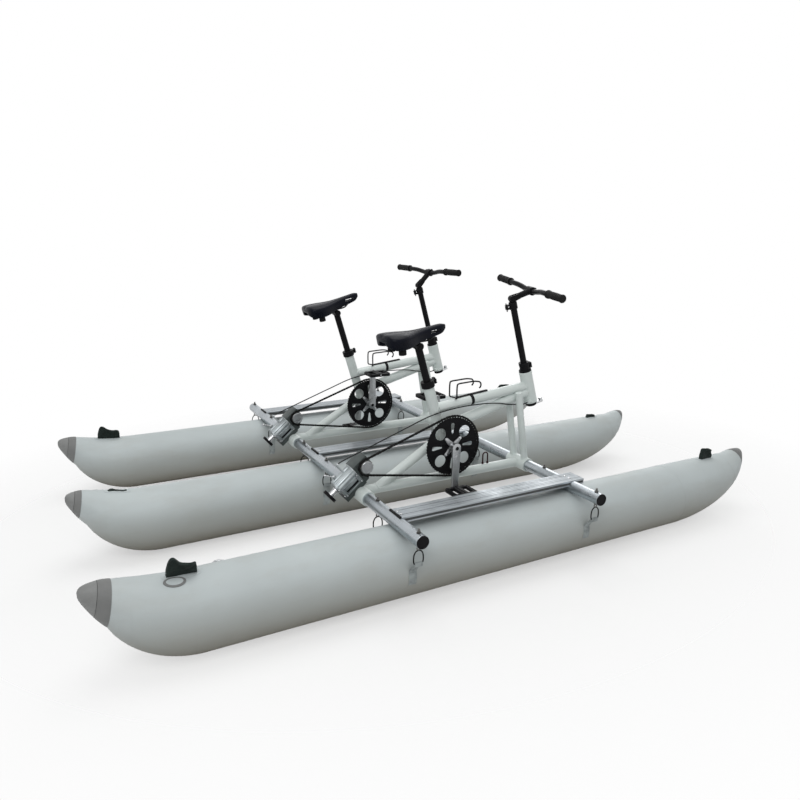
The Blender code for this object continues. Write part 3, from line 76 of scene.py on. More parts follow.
# Where the grey caps start, as shares of the stern's and the bow's cone
CAP_START = {"starboard": (0.0, 0.4), "centre": (0.36, 0.62), "port": (0.12, 0.55)}
# Each pontoon's carry handles: x, length, height and how far they lean in degrees
HANDLES = {"starboard": ((-1.18, 0.09, 0.065, 24.0), (1.195, 0.065, 0.05, 6.0)),
           "centre": ((-1.28, 0.07, 0.007, 0.0), (1.23, 0.06, 0.017, 0.0)),
           "port": ((-1.24, 0.1, 0.058, 8.0), (1.21, 0.1, 0.034, 4.0))}
BEAM_X = {"rear_beam": -0.4405, "front_beam": 0.3515}
BEAM_RADIUS = 0.024
BEAM_Z = 2 * PONTOON_RADIUS + FIT + BEAM_RADIUS
BEAM_HALF_LENGTH = 0.983
BOLT_OUT, BOLT_IN = 0.169, 0.14
RING_LOW, RING_HALF, RING_HEIGHT = -0.091, 0.021, 0.052
PLANK_WIDTH, PLANK_DEPTH, PLANK_WALL = 0.082, 0.022, 0.003
PLANK_TOP_Z = BEAM_Z + BEAM_RADIUS + FIT + PLANK_WALL
PLANK_REAR_X, PLANK_FRONT_X = -0.4365, 0.405
SLEEVE_RADIUS, REAR_SLEEVE_HALF, FRONT_SLEEVE_HALF = 0.03, 0.089, 0.062
RAIL_RADIUS, STAY_RADIUS, STRUT_RADIUS = 0.02, 0.0195, 0.015
STAY_LOW_X, STAY_TOP = -0.363, (-0.085, 0.45)
CRANK_AXIS = (-0.042, 0.4325)
SEAT_LEAN, HEAD_LEAN = 0.298, 0.285
SHELL_RADIUS, SHELL_HALF_WIDTH = 0.021, 0.035
SEAT_TUBE_RADIUS = 0.0225
SEAT_TUBE_LOW = (CRANK_AXIS[0] - 0.014, CRANK_AXIS[1])
SEAT_TUBE_HIGH = (SEAT_TUBE_LOW[0] - SEAT_LEAN * (0.7 - SEAT_TUBE_LOW[1]), 0.7)
TOP_TUBE_RADIUS, TOP_TUBE = 0.021, ((-0.105, 0.585), (0.385, 0.635))
DOWN_TUBE_RADIUS, DOWN_TUBE = 0.0225, ((-0.067, 0.492), (0.385, 0.613))
STRUT_TOP = (0.297, 0.618)
HEAD_AXIS_POINT, HEAD_RADIUS, HEAD_LOW, HEAD_HIGH = (0.386, 0.6), 0.0275, -0.042, 0.104
STEERER_RADIUS, COLLAR_RADIUS, COLLAR_HEIGHT, ARM_LENGTH = 0.0175, 0.0225, 0.041, 0.046
MAST_RADIUS, MAST_FOOT, MAST_TOP, PIVOT_HEIGHT = 0.0135, 0.012, 0.418, 0.432
STEM_LENGTH, BAR_RADIUS, BAR_HALF_WIDTH = 0.088, 0.011, 0.3
GRIP_LENGTH, GRIP_RADIUS = 0.12, 0.015
STEER_TURN = {"starboard": -14.0, "port": 0.0}
STEM_RISE = {"starboard": 6.0, "port": 30.0}
POST_RADIUS, POST_LENGTH = 0.015, 0.3
POST_OUT = {"starboard": 0.1555, "port": 0.2047}
SADDLE_TILT = {"starboard": 6.0, "port": 12.0}
SADDLE_LENGTH, SADDLE_WIDTH = 0.28, 0.16
RAIL_Z = 0.0188
CHAIN_Y = -0.052
CHAIN_PITCH = 0.0127
CHAINWHEEL_TEETH, SPROCKET_TEETH, TOOTH_HEIGHT, WHEEL_THICKNESS = 60, 13, 0.0045, 0.004
CRANK_LENGTH, CRANK_OFFSET, CRANK_THICKNESS = 0.17, 0.084, 0.012
CRANK_TURN = {"starboard": 1.3, "port": 181.3}
PEDAL_LENGTH, PEDAL_WIDTH, PEDAL_THICKNESS = 0.104, 0.088, 0.018
DRIVE_TILT, SHAFT_A, SHAFT_B = 40.0, 0.083, 0.081
HOUSING_REAR, HOUSING_FOOT, HOUSING_HALF = -0.052, 0.042, 0.035
HOUSING_TOP = HOUSING_FOOT + 0.04 + HOUSING_HALF
CABLE_RADIUS = 0.0025
CABLE_STOP = (-0.031, -0.022, -0.028)
CABLE_BENDS = ((-0.51, -0.001, 0.425), (-0.4, -0.012, 0.468), (-0.25, -0.024, 0.525),
               (-0.13, -0.0285, 0.566), (0.0, -0.0285, 0.585), (0.12, -0.0285, 0.5865), (0.2, -0.0285, 0.58),
               (0.245, -0.0275, 0.57), (0.272, -0.0245, 0.5655), (0.29, -0.019, 0.5625),
               (0.312, -0.019, 0.56), (0.335, -0.0205, 0.558))

# Places and sizes of the visible details
SKIN_SIDES = 72
CAP_OVERLAP, BAND_SHARE, BAND_GAP, NOSE_END = 0.03, 0.42, 0.012, 0.995
OVAL_PLACE = (0.305, -16.0)
STITCHED_HEIGHT, STITCH_PITCH = 0.02, 0.0042
HEAD_RIM = 0.012
CAGE_LIFT = 0.0027
HOOP_HALF = 0.0125
QUARTERS = (45, 135, 225, 315)
BOLT_CIRCLE = 0.046
WHEEL_FACE = CHAIN_Y - WHEEL_THICKNESS / 2 + 0.001
DISC_A, LEVER_A = -0.099, -0.03
MAST_LEVER_X = -0.03
# A band texture of scale 1 repeats at about this pitch
STRIPE_PITCH = 1 / 3.2

# Small places and sizes
PATCH_MARGIN, PATCH_WIDTH = 0.028, 0.046
PLANK_SCREW_X, PLANK_SCREW_Y = (-0.425, BEAM_X["front_beam"]), 0.013
CHAIN_RISE = 0.004
FOLD_LEVER, SEAT_LEVER = 0.038, 0.042
SEAT_LEVER_X = 0.036
SADDLE_BACK = 0.55
BUMPER_PLACE = (-0.094, 0.046)

# Studio
CAMERA_PLACE = (-1.4697, -2.737, 1.2827)
FLOOR_HALF, FLOOR_DROP, AMBIENT = 6.0, 0.0006, 0.4

# The materials by name, once their operator has run
FINISHES = {}


# Sizes and colours that a user may change
def colour_property(name, description, default):
    """A colour with no alpha."""
    return bpy.props.FloatVectorProperty(name=name, description=description, default=default, size=3,
                                         subtype="COLOR", min=0.0, max=1.0)


def length_property(name, description, default):
    """A length in metres."""
    return bpy.props.FloatProperty(name=name, description=description, default=default, unit="LENGTH",
                                   subtype="DISTANCE", min=0.0)


class WaterBikeColours(bpy.types.PropertyGroup):
    """Colours of the water bike's finishes."""

    hull: colour_property("Hull", "Coated fabric of the pontoons", (0.48, 0.528, 0.532))
    cone: colour_property("Cone", "Grey caps at the pontoons' ends", (0.24, 0.245, 0.242))
    webbing: colour_property("Webbing", "Carry handles", (0.019, 0.028, 0.025))
    frame_paint: colour_property("Frame paint", "White powder coat of the bike frames", (0.66, 0.72, 0.7))
    aluminium: colour_property("Aluminium", "Beams and planks", (0.5, 0.54, 0.57))
    black: colour_property("Black metal", "Masts, stems, posts and chainwheels", (0.01, 0.01, 0.011))
    saddle: colour_property("Saddle", "Padded cover of the saddles", (0.004, 0.005, 0.01))


class WaterBikeSizes(bpy.types.PropertyGroup):
    """Sizes of the visible details."""

    seam_width: length_property("Seam width", "Width of the tape round the pontoons", 0.03)
    fold_width: length_property("Fold width", "Thickness of the folded carry handles", 0.017)
    strap_width: length_property("Strap width", "Width of the lashing straps", 0.03)
    weld_radius: length_property("Weld radius", "Thickness of the weld beads", 0.0026)
    cable_radius: length_property("Cable radius", "Half the thickness of the steering cables", CABLE_RADIUS)
    round_sides: bpy.props.IntProperty(name="Round sides", description="Sides of each cross beam", default=48,
                                       min=12, max=96)


class WaterBikeStudio(bpy.types.PropertyGroup):
    """Camera and light."""

    lens: bpy.props.FloatProperty(name="Lens", description="Focal length in millimetres", default=30.133,
                                  min=1.0)
    yaw: bpy.props.FloatProperty(name="Yaw", description="Heading of the camera from +Y towards +X",
                                 default=0.4921, subtype="ANGLE", unit="ROTATION")
    pitch: bpy.props.FloatProperty(name="Pitch", description="How far the camera looks down", default=0.2459,
                                   subtype="ANGLE", unit="ROTATION")
    roll: bpy.props.FloatProperty(name="Roll", description="Turn about the view axis", default=0.0066,
                                  subtype="ANGLE", unit="ROTATION")
    floor: colour_property("Floor", "Pale studio floor", (0.9, 0.9, 0.9))


# Mesh helpers
def mesh_from(build, name="shape"):
    """Close a bmesh into a mesh whose faces point out."""
    bmesh.ops.recalc_face_normals(build, faces=build.faces[:])
    mesh = bpy.data.meshes.new(name)
    build.to_mesh(mesh)
    build.free()
    return mesh


def shift(x=0.0, y=0.0, z=0.0):
    """A plain move."""
    return Matrix.Translation((x, y, z))


def turn(degrees, axis):
    """A plain rotation."""
    return Matrix.Rotation(math.radians(degrees), 4, axis)


def moved(mesh, matrix):
    """A copy of a mesh under a matrix, with its normals recalculated after a mirror."""
    copy = mesh.copy()
    copy.transform(matrix)
    if matrix.determinant() > 0:
        return copy
    build = bmesh.new()
    build.from_mesh(copy)
    return mesh_from(build)


def merged(*meshes):
    """Several meshes as one, each part kept as it is."""
    build = bmesh.new()
    for mesh in meshes:
        build.from_mesh(mesh)
    result = bpy.data.meshes.new("merged")
    build.to_mesh(result)
    build.free()
    return result


def evaluated(host):
    """The mesh of an object with its modifiers or its curve bevel, and the object gone."""
    bpy.context.scene.collection.objects.link(host)
    bpy.context.view_layer.update()
    graph = bpy.context.evaluated_depsgraph_get()
    mesh = bpy.data.meshes.new_from_object(host.evaluated_get(graph))
    bpy.data.objects.remove(host, do_unlink=True)
    return mesh


def carved(mesh, cutter):
    """A closed mesh with another closed mesh cut out of it."""
    host = bpy.data.objects.new("host", mesh)
    tool = bpy.data.objects.new("tool", cutter)
    bpy.context.scene.collection.objects.link(tool)
    boolean = host.modifiers.new("carve", "BOOLEAN")
    boolean.operation = "DIFFERENCE"
    boolean.solver = "EXACT"
    boolean.object = tool
    result = evaluated(host)
    bpy.data.objects.remove(tool, do_unlink=True)
    return result


def along(start, end):
    """The place whose Z axis runs from start to end."""
    start = Vector(start)
    run = Vector(end) - start
    return Matrix.Translation(start) @ run.to_track_quat("Z", "Y").to_matrix().to_4x4(), run.length


def lathe(profile, sides=48):
    """A profile of (radius, height) points turned about Z, from axis to axis or as a closed loop."""
    build = bmesh.new()
    rows = []
    for radius, height in profile:
        if radius < 1e-7:
            rows.append([build.verts.new((0.0, 0.0, height))])
            continue
        row = []
        for step in range(sides):
            angle = 2 * math.pi * step / sides
            row.append(build.verts.new((radius * math.cos(angle), radius * math.sin(angle), height)))
        rows.append(row)
    pairs = list(zip(rows, rows[1:]))
    if len(rows[0]) > 1 and len(rows[-1]) > 1:
        pairs.append((rows[-1], rows[0]))
    for near, far in pairs:
        for index in range(sides):
            after = (index + 1) % sides
            corners = [near[index % len(near)], near[after % len(near)], far[after % len(far)],
                       far[index % len(far)]]
            face = [corner for place, corner in enumerate(corners) if corner not in corners[:place]]
            if len(face) > 2:
                build.faces.new(face)
    return mesh_from(build)


def bar(start, end, radius, chamfer=0.0, sides=48, end_radius=None):
    """A round bar between two points, with chamfered ends."""
    place, length = along(start, end)
    tip = radius if end_radius is None else end_radius
    profile = [(0.0, 0.0), (radius - chamfer, 0.0), (radius, chamfer), (tip, length - chamfer),
               (tip - chamfer, length), (0.0, length)]
    if chamfer == 0.0:
        profile = [(0.0, 0.0), (radius, 0.0), (tip, length), (0.0, length)]
    return moved(lathe(profile, sides), place)


def pipe(start, end, radius, wall, chamfer=0.001, sides=48):
    """A hollow tube between two points."""
    place, length = along(start, end)
    inner = radius - wall
    profile = [(inner, 0.0), (radius - chamfer, 0.0), (radius, chamfer), (radius, length - chamfer),
               (radius - chamfer, length), (inner, length)]
    return moved(lathe(profile, sides), place)


def softened(mesh, width, segments=2):
    """A copy of a mesh with rounded edges."""
    host = bpy.data.objects.new("softened", mesh)
    bevel = host.modifiers.new("rounding", "BEVEL")
    bevel.width = width
    bevel.segments = segments
    bevel.limit_method = "ANGLE"
    bevel.angle_limit = math.radians(35)
    return evaluated(host)


def block(low, high, rounding=0.0):
    """A box between two corners, with rounded edges."""
    low = Vector(low)
    high = Vector(high)
    build = bmesh.new()
    place = Matrix.Translation((low + high) / 2) @ Matrix.Diagonal((*(high - low), 1.0))
    bmesh.ops.create_cube(build, size=1.0, matrix=place)
    mesh = mesh_from(build)
    return softened(mesh, rounding) if rounding else mesh


def plate(outline, thickness, rounding=0.0005, holes=()):
    """A flat outline in XY with holes, thick along Z, centred on z = 0, with rounded edges."""
    curve = bpy.data.curves.new("outline", "CURVE")
    curve.dimensions = "2D"
    curve.fill_mode = "BOTH"
    curve.extrude = thickness / 2 - rounding
    curve.bevel_depth = rounding
    curve.bevel_resolution = 1
    for loop in (outline, *holes):
        spline = curve.splines.new("POLY")
        spline.points.add(len(loop) - 1)
        for point, (x, y) in zip(spline.points, loop):
            point.co = (x, y, 0.0, 1.0)
        spline.use_cyclic_u = True
    mesh = evaluated(bpy.data.objects.new("outline", curve))
    bpy.data.curves.remove(curve)
    build = bmesh.new()
    build.from_mesh(mesh)
    bmesh.ops.remove_doubles(build, verts=build.verts[:], dist=0.00001)
    return mesh_from(build)


def circle(centre, radius, count, first=0.0, last=360.0):
    """Points on an arc; a whole circle doesn't repeat its first point."""
    whole = abs(last - first) >= 360.0
    steps = count if whole else count - 1
    angles = [math.radians(first + (last - first) * step / steps) for step in range(count)]
    return [(centre[0] + radius * math.cos(angle), centre[1] + radius * math.sin(angle)) for angle in angles]


def spun(points, degrees):
    """Points of a flat outline turned about its centre."""
    angle = math.radians(degrees)
    return [(x * math.cos(angle) - y * math.sin(angle), x * math.sin(angle) + y * math.cos(angle))
            for x, y in points]


def smooth_path(points, steps=6):
    """A smooth curve through given points."""
    places = [Vector(point) for point in points]
    padded = [2 * places[0] - places[1], *places, 2 * places[-1] - places[-2]]
    path = []
    for index in range(1, len(padded) - 2):
        before, here, there, after = padded[index - 1:index + 3]
        for step in range(steps):
            t = step / steps
            path.append(0.5 * (2 * here + (there - before) * t
                               + (2 * before - 5 * here + 4 * there - after) * t * t
                               + (3 * here - before - 3 * there + after) * t ** 3))
    path.append(places[-1])
    return path


def sweep(path, section, up=(0.0, 0.0, 1.0), closed=False, sizes=None):
    """A solid whose section, a list of (side, up) points, follows a path without twisting."""
    places = [Vector(point) for point in path]
    count = len(places)
    rings = []
    rising = Vector(up)
    for index, place in enumerate(places):
        before = places[index - 1] if closed or index > 0 else place
        after = places[(index + 1) % count] if closed or index < count - 1 else place
        ahead = (after - before).normalized()
        aside = ahead.cross(rising)
        if aside.length < 1e-6:
            aside = ahead.cross(Vector((0.0, 1.0, 0.0)))
        aside.normalize()
        if not closed:
            rising = aside.cross(ahead).normalized()
        high = aside.cross(ahead)
        size = sizes[index] if sizes else 1.0
        rings.append([place + aside * (x * size) + high * (y * size) for x, y in section])
    return loft(rings, closed)


def wire(points, radius, sides=14, closed=False, up=(0.0, 0.0, 1.0), sizes=None):
    """A bent round wire."""
    return sweep(points, circle((0.0, 0.0), radius, sides), up, closed, sizes)


def band(width, thickness, rounding=0.0008):
    """The section of a flat strap, wide to the side and thin upwards."""
    half = width / 2
    rise = thickness / 2
    return [(-half + rounding, -rise), (half - rounding, -rise), (half, -rise + rounding / 2),
            (half, rise - rounding / 2), (half - rounding, rise), (-half + rounding, rise),
            (-half, rise - rounding / 2), (-half, -rise + rounding / 2)]


def loft(rings, closed=False):
    """A solid through rings that have the same number of points, capped unless it closes on itself."""
    build = bmesh.new()
    rows = [[build.verts.new(point) for point in ring] for ring in rings]
    pairs = list(zip(rows, rows[1:]))
    if closed:
        pairs.append((rows[-1], rows[0]))
    for near, far in pairs:
        for index in range(len(near)):
            after = (index + 1) % len(near)
            build.faces.new((near[index], near[after], far[after], far[index]))
    if not closed:
        build.faces.new(rows[0])
        build.faces.new(rows[-1])
    return mesh_from(build)


def copy_of_node(node, rounding, segments=2):
    """A CAD node's own shape, closed up and with its edges rounded."""
    build = bmesh.new()
    build.from_mesh(frame["nodes"][node].data)
    bmesh.ops.remove_doubles(build, verts=build.verts[:], dist=0.00001)
    bmesh.ops.dissolve_limit(build, angle_limit=math.radians(1.0), verts=build.verts[:], edges=build.edges[:])
    mesh = bpy.data.meshes.new("copy")
    build.to_mesh(mesh)
    build.free()
    return softened(mesh, rounding, segments)


def weld_line(start, end, radius, other_start, other_end, other_radius, steps=40):
    """The closed line where one round tube meets the side of another, nearest its start."""
    start = Vector(start)
    ahead = (Vector(end) - start).normalized()
    aside = ahead.cross(Vector((0.0, 1.0, 0.0)))
    if aside.length < 1e-4:
        aside = ahead.cross(Vector((1.0, 0.0, 0.0)))
    aside.normalize()
    high = aside.cross(ahead)
    origin = Vector(other_start)
    axis = (Vector(other_end) - origin).normalized()
    points = []
    for step in range(steps):
        angle = 2 * math.pi * step / steps
        edge = start + radius * (math.cos(angle) * aside + math.sin(angle) * high)
        offset = (edge - origin) - (edge - origin).dot(axis) * axis
        slope = ahead - ahead.dot(axis) * axis
        a = slope.dot(slope)
        b = 2 * offset.dot(slope)
        c = offset.dot(offset) - other_radius ** 2
        inside = b * b - 4 * a * c
        travel = (-b + math.sqrt(inside)) / (2 * a) if inside > 0 else -b / (2 * a)
        points.append(edge + ahead * travel)
    return points


def weld_bead(line, radius):
    """A rippled weld bead along a closed line."""
    dense = []
    sizes = []
    count = len(line)
    for index in range(count):
        for step in range(3):
            t = step / 3
            dense.append(line[index].lerp(line[(index + 1) % count], t))
            sizes.append((0.86, 1.08, 1.0)[step])
    return wire(dense, radius, 8, closed=True, up=(0.13, 0.97, 0.21), sizes=sizes)


# Geometry node trees
def socket_id(tree, name):
    """The identifier of a tree's named input."""
    for item in tree.interface.items_tree:
        if item.item_type == "SOCKET" and item.in_out == "INPUT" and item.name == name:
            return item.identifier
    raise ValueError("the node tree has no input named " + name)


def repeating_tree(name, inputs=()):
    """A tree that puts a part at points, then realizes the copies and sets their material."""
    tree = bpy.data.node_groups.new(name, "GeometryNodeTree")
    sockets = (("Geometry", "NodeSocketGeometry"), ("Part", "NodeSocketObject"), *inputs,
               ("Material", "NodeSocketMaterial"))
    for label, kind in sockets:
        tree.interface.new_socket(label, in_out="INPUT", socket_type=kind)
    tree.interface.new_socket("Geometry", in_out="OUTPUT", socket_type="NodeSocketGeometry")
    given = tree.nodes.new("NodeGroupInput")
    info = tree.nodes.new("GeometryNodeObjectInfo")
    place = tree.nodes.new("GeometryNodeInstanceOnPoints")
    realize = tree.nodes.new("GeometryNodeRealizeInstances")
    paint = tree.nodes.new("GeometryNodeSetMaterial")
    result = tree.nodes.new("NodeGroupOutput")
    tree.links.new(given.outputs["Part"], info.inputs["Object"])
    tree.links.new(info.outputs["Geometry"], place.inputs["Instance"])
    tree.links.new(place.outputs[0], realize.inputs[0])
    tree.links.new(realize.outputs[0], paint.inputs["Geometry"])
    tree.links.new(given.outputs["Material"], paint.inputs["Material"])
    tree.links.new(paint.outputs[0], result.inputs[0])
    return tree, given, place


def scatter_tree():
    """A part at each point of a guide mesh, turned by the point's stored angles."""
    tree, given, place = repeating_tree("parts_at_points")
    angles = tree.nodes.new("GeometryNodeInputNamedAttribute")
    angles.data_type = "FLOAT_VECTOR"
    angles.inputs["Name"].default_value = "turn"
    tree.links.new(given.outputs["Geometry"], place.inputs["Points"])
    tree.links.new(angles.outputs["Attribute"], place.inputs["Rotation"])
    return tree


def path_tree():
    """A part repeated along a closed or open line of edges, its X axis along the line and its Y kept."""
    tree, given, place = repeating_tree("parts_along_path", (("Count", "NodeSocketInt"),
                                                             ("Keep", "NodeSocketVector")))
    line = tree.nodes.new("GeometryNodeMeshToCurve")
    spaced = tree.nodes.new("GeometryNodeResampleCurve")
    tangent = tree.nodes.new("GeometryNodeInputTangent")
    kept = tree.nodes.new("FunctionNodeAlignRotationToVector")
    kept.axis = "Y"
    aimed = tree.nodes.new("FunctionNodeAlignRotationToVector")
    aimed.axis = "X"
    aimed.pivot_axis = "Y"
    tree.links.new(given.outputs["Geometry"], line.inputs[0])
    tree.links.new(line.outputs[0], spaced.inputs["Curve"])
    tree.links.new(given.outputs["Count"], spaced.inputs["Count"])
    tree.links.new(given.outputs["Keep"], kept.inputs["Vector"])
    tree.links.new(kept.outputs["Rotation"], aimed.inputs["Rotation"])
    tree.links.new(tangent.outputs[0], aimed.inputs["Vector"])
    tree.links.new(aimed.outputs["Rotation"], place.inputs["Rotation"])
    tree.links.new(spaced.outputs[0], place.inputs["Points"])
    return tree


def repeated(tree, part, guide, finish_name, **values):
    """Run a tree that repeats a part on a guide mesh, and keep the result as a plain mesh."""
    holder = bpy.data.objects.new("part", part)
    bpy.context.scene.collection.objects.link(holder)
    host = bpy.data.objects.new("guide", guide)
    modifier = host.modifiers.new("repeat", "NODES")
    modifier.node_group = tree
    for name, value in {"Part": holder, "Material": FINISHES[finish_name], **values}.items():
        modifier[socket_id(tree, name)] = value
    mesh = evaluated(host)
    bpy.data.objects.remove(holder, do_unlink=True)
    return mesh


def at_points(part, places, finish_name):
    """Copies of a part mesh at each matrix, as one mesh."""
    guide = bpy.data.meshes.new("points")
    guide.from_pydata([place.translation for place in places], [], [])
    angles = guide.attributes.new("turn", "FLOAT_VECTOR", "POINT")
    for index, place in enumerate(places):
        angles.data[index].vector = place.to_euler("XYZ")
    return repeated(scatter_tree(), part, guide, finish_name)


def along_path(part, points, count, keep, finish_name, closed=False):
    """Copies of a part mesh along a line of points, as one mesh."""
    guide = bpy.data.meshes.new("line")
    edges = [(index, index + 1) for index in range(len(points) - 1)]
    if closed:
        edges.append((len(points) - 1, 0))
    guide.from_pydata([tuple(point) for point in points], edges, [])
    return repeated(path_tree(), part, guide, finish_name, Count=count, Keep=keep)


# Pieces
def piece(name, mesh, finish_name, body, replaces=(), smooth_angle=38):
    """A finished piece, shaded smooth, that rides on a body and takes its finish from a slot."""
    mesh.name = name
    mesh.materials.clear()
    mesh.materials.append(FINISHES[finish_name])
    mesh.polygons.foreach_set("use_smooth", [True] * len(mesh.polygons))
    mesh.polygons.foreach_set("material_index", [0] * len(mesh.polygons))
    mesh.set_sharp_from_angle(angle=math.radians(smooth_angle))
    made = bpy.data.objects.new(name, mesh)
    bpy.context.scene.collection.objects.link(made)
    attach(made, body)
    if replaces:
        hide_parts(*replaces)
    return made


def own_piece(where, name, mesh, place, finish_name, body="deck", node="", smooth_angle=38):
    """A piece of one bike or pontoon: its name, its CAD node and its own body end in where it is."""
    own_body = body if body == "deck" else body + "_" + where
    replaces = [node + "_" + where] if node else []
    return piece(name + "_" + where, moved(mesh, place), finish_name, own_body, replaces, smooth_angle)


def upright(mesh, y=0.0):
    """A shape drawn flat in XY, stood up in XZ at its own y."""
    return moved(mesh, shift(y=y) @ turn(90, "X"))


def cross_bar(near, far, radius, chamfer=0.0, sides=48, x=0.0, z=0.0):
    """A round bar across the bike, from one y to another."""
    return bar((x, near, z), (x, far, z), radius, chamfer, sides)


def flat(point, y=0.0):
    """A point given by its x and z."""
    return (point[0], y, point[1])


SEAT_PLACE = shift(*flat(SEAT_TUBE_HIGH)) @ turn(-math.degrees(math.atan(SEAT_LEAN)), "Y")
HEAD_PLACE = shift(*flat(HEAD_AXIS_POINT)) @ turn(-math.degrees(math.atan(HEAD_LEAN)), "Y")
DRIVE_PLACE = shift(BEAM_X["rear_beam"], 0.0, BEAM_Z) @ turn(-DRIVE_TILT, "Y")
SHAFT_PLACE = DRIVE_PLACE @ shift(SHAFT_A, 0.0, SHAFT_B)


# Finishes
def node(tree, kind, **values):
    """A node with some of its sockets set by name."""
    made = tree.nodes.new(kind)
    for name, value in values.items():
        made.inputs[name.replace("_", " ")].default_value = value
    return made


def object_coordinates(tree, scale=(1.0, 1.0, 1.0)):
    """Object coordinates, stretched."""
    source = tree.nodes.new("ShaderNodeTexCoord")
    mapping = node(tree, "ShaderNodeMapping", Scale=scale)
    tree.links.new(source.outputs["Object"], mapping.inputs["Vector"])
    return mapping.outputs[0]


def noise(tree, scale, detail=3.0, roughness=0.5, stretch=(1.0, 1.0, 1.0)):
    """A noise pattern on object coordinates."""
    made = node(tree, "ShaderNodeTexNoise", Scale=scale, Detail=detail, Roughness=roughness)
    tree.links.new(object_coordinates(tree, stretch), made.inputs["Vector"])
    return made.outputs["Fac"]


def ranged(tree, source, low, high, start=0.3, stop=0.7):
    """A value mapped from one range to another."""
    made = node(tree, "ShaderNodeMapRange")
    made.inputs["From Min"].default_value = start
    made.inputs["From Max"].default_value = stop
    made.inputs["To Min"].default_value = low
    made.inputs["To Max"].default_value = high
    tree.links.new(source, made.inputs["Value"])
    return made.outputs[0]


def mixed_colour(tree, share, first, second):
    """One colour blended into another by a share; either may be a socket."""
    made = tree.nodes.new("ShaderNodeMix")
    made.data_type = "RGBA"
    tree.links.new(share, made.inputs["Factor"])
    for socket, value in ((made.inputs[6], first), (made.inputs[7], second)):
        if isinstance(value, bpy.types.NodeSocket):
            tree.links.new(value, socket)
        else:
            socket.default_value = (*value, 1.0)
    return made.outputs[2]


def maths(tree, operation, first, second):
    """Two values combined."""
    made = tree.nodes.new("ShaderNodeMath")
    made.operation = operation
    tree.links.new(first, made.inputs[0])
    tree.links.new(second, made.inputs[1])
    return made.outputs[0]


def stripes(tree, scale, direction):
    """Even bands across one axis."""
    made = node(tree, "ShaderNodeTexWave", Scale=scale)
    made.wave_type = "BANDS"
    made.bands_direction = direction
    tree.links.new(object_coordinates(tree), made.inputs["Vector"])
    return made.outputs["Fac"]


def weave(tree, pitch):
    """Crossing threads, as two sets of bands."""
    scale = STRIPE_PITCH / pitch
    return maths(tree, "MAXIMUM", stripes(tree, scale, "X"), stripes(tree, scale, "Z"))


def shades(colour, factor):
    """A colour made darker or lighter."""
    return tuple(min(1.0, max(0.0, channel * factor)) for channel in colour)


def finish(name, colour, roughness, metallic=0.0, mottle=(3.0, 0.1), gloss=(25.0, 0.08), coat=0.0,
           grime_and_shade=None, grime_share=0.0, specular=0.5):
    """A finish with soft colour changes, uneven gloss and, where asked, dirt in patches."""
    material = bpy.data.materials.new(name)
    material.use_nodes = True
    tree = material.node_tree
    shader = tree.nodes["Principled BSDF"]
    shader.inputs["Metallic"].default_value = metallic
    shader.inputs["Specular IOR Level"].default_value = specular
    shader.inputs["Coat Weight"].default_value = coat
    shader.inputs["Coat Roughness"].default_value = 0.15
    soft = ranged(tree, noise(tree, mottle[0], 4.0, 0.6), 0.0, 1.0)
    tone = mixed_colour(tree, soft, shades(colour, 1.0 - mottle[1]), shades(colour, 1.0 + mottle[1] * 0.6))
    if grime_and_shade:
        patches = ranged(tree, noise(tree, 9.0, 6.0, 0.65, (0.5, 1.0, 1.6)), 0.0, grime_share, 0.48, 0.75)
        tone = mixed_colour(tree, patches, tone, grime_and_shade)
    tree.links.new(tone, shader.inputs["Base Color"])
    worn = ranged(tree, noise(tree, gloss[0], 4.0), max(0.02, roughness - gloss[1]), roughness + gloss[1])
    tree.links.new(worn, shader.inputs["Roughness"])
    material.diffuse_color = (*colour, 1.0)
    return material


def rough_surface(material, source, strength, distance):
    """Bump on a finish from a pattern."""
    tree = material.node_tree
    bump = node(tree, "ShaderNodeBump", Strength=strength, Distance=distance)
    tree.links.new(source, bump.inputs["Height"])
    shader = tree.nodes["Principled BSDF"]
    if shader.inputs["Normal"].links:
        tree.links.new(shader.inputs["Normal"].links[0].from_socket, bump.inputs["Normal"])
    tree.links.new(bump.outputs[0], shader.inputs["Normal"])
    return material


def hull_finish(colour):
    """Coated fabric: fine weave under the coat, soft wrinkles, dirt in patches, and painted shade with a warm
    painted bounce light that darkens it towards the keel.
    """
    material = finish("hull_fabric", colour, 0.5, mottle=(2.2, 0.06), gloss=(14.0, 0.07),
                      grime_and_shade=(0.36, 0.35, 0.31), grime_share=0.25, specular=0.35)
    tree = material.node_tree
    # Painted shade: below 0.22 m the colour fades to a warm brown, standing in for the shade and warm bounce light
    # under the pontoon.
    height = tree.nodes.new("ShaderNodeSeparateXYZ")
    tree.links.new(object_coordinates(tree), height.inputs[0])
    low = ranged(tree, height.outputs["Z"], 1.0, 0.0, 0.0, 0.22)
    shader = tree.nodes["Principled BSDF"]
    tone = shader.inputs["Base Color"].links[0].from_socket
    tree.links.new(mixed_colour(tree, low, tone, (0.165, 0.145, 0.105)), shader.inputs["Base Color"])
    rough_surface(material, noise(tree, 5.0, 5.0, 0.6, (0.45, 1.0, 1.0)), 0.25, 0.004)
    return rough_surface(material, weave(tree, 0.0016), 0.1, 0.0003)


def brushed(name, colour, roughness, stretch):
    """Drawn metal with fine lines along one axis."""
    material = finish(name, colour, roughness, 1.0, mottle=(6.0, 0.12), gloss=(18.0, 0.1),
                      grime_and_shade=shades(colour, 0.55), grime_share=0.35)
    lines = noise(material.node_tree, 260.0, 3.0, 0.6, stretch)
    return rough_surface(material, lines, 0.1, 0.0004)


def cast(name, colour, roughness, metallic, specular=0.5):
    """Sand-cast metal or moulded rubber with a pebbled skin."""
    material = finish(name, colour, roughness, metallic, mottle=(22.0, 0.18), gloss=(40.0, 0.1),
                      grime_and_shade=shades(colour, 0.35), grime_share=0.5, specular=specular)
    return rough_surface(material, noise(material.node_tree, 420.0, 4.0), 0.35, 0.0006)


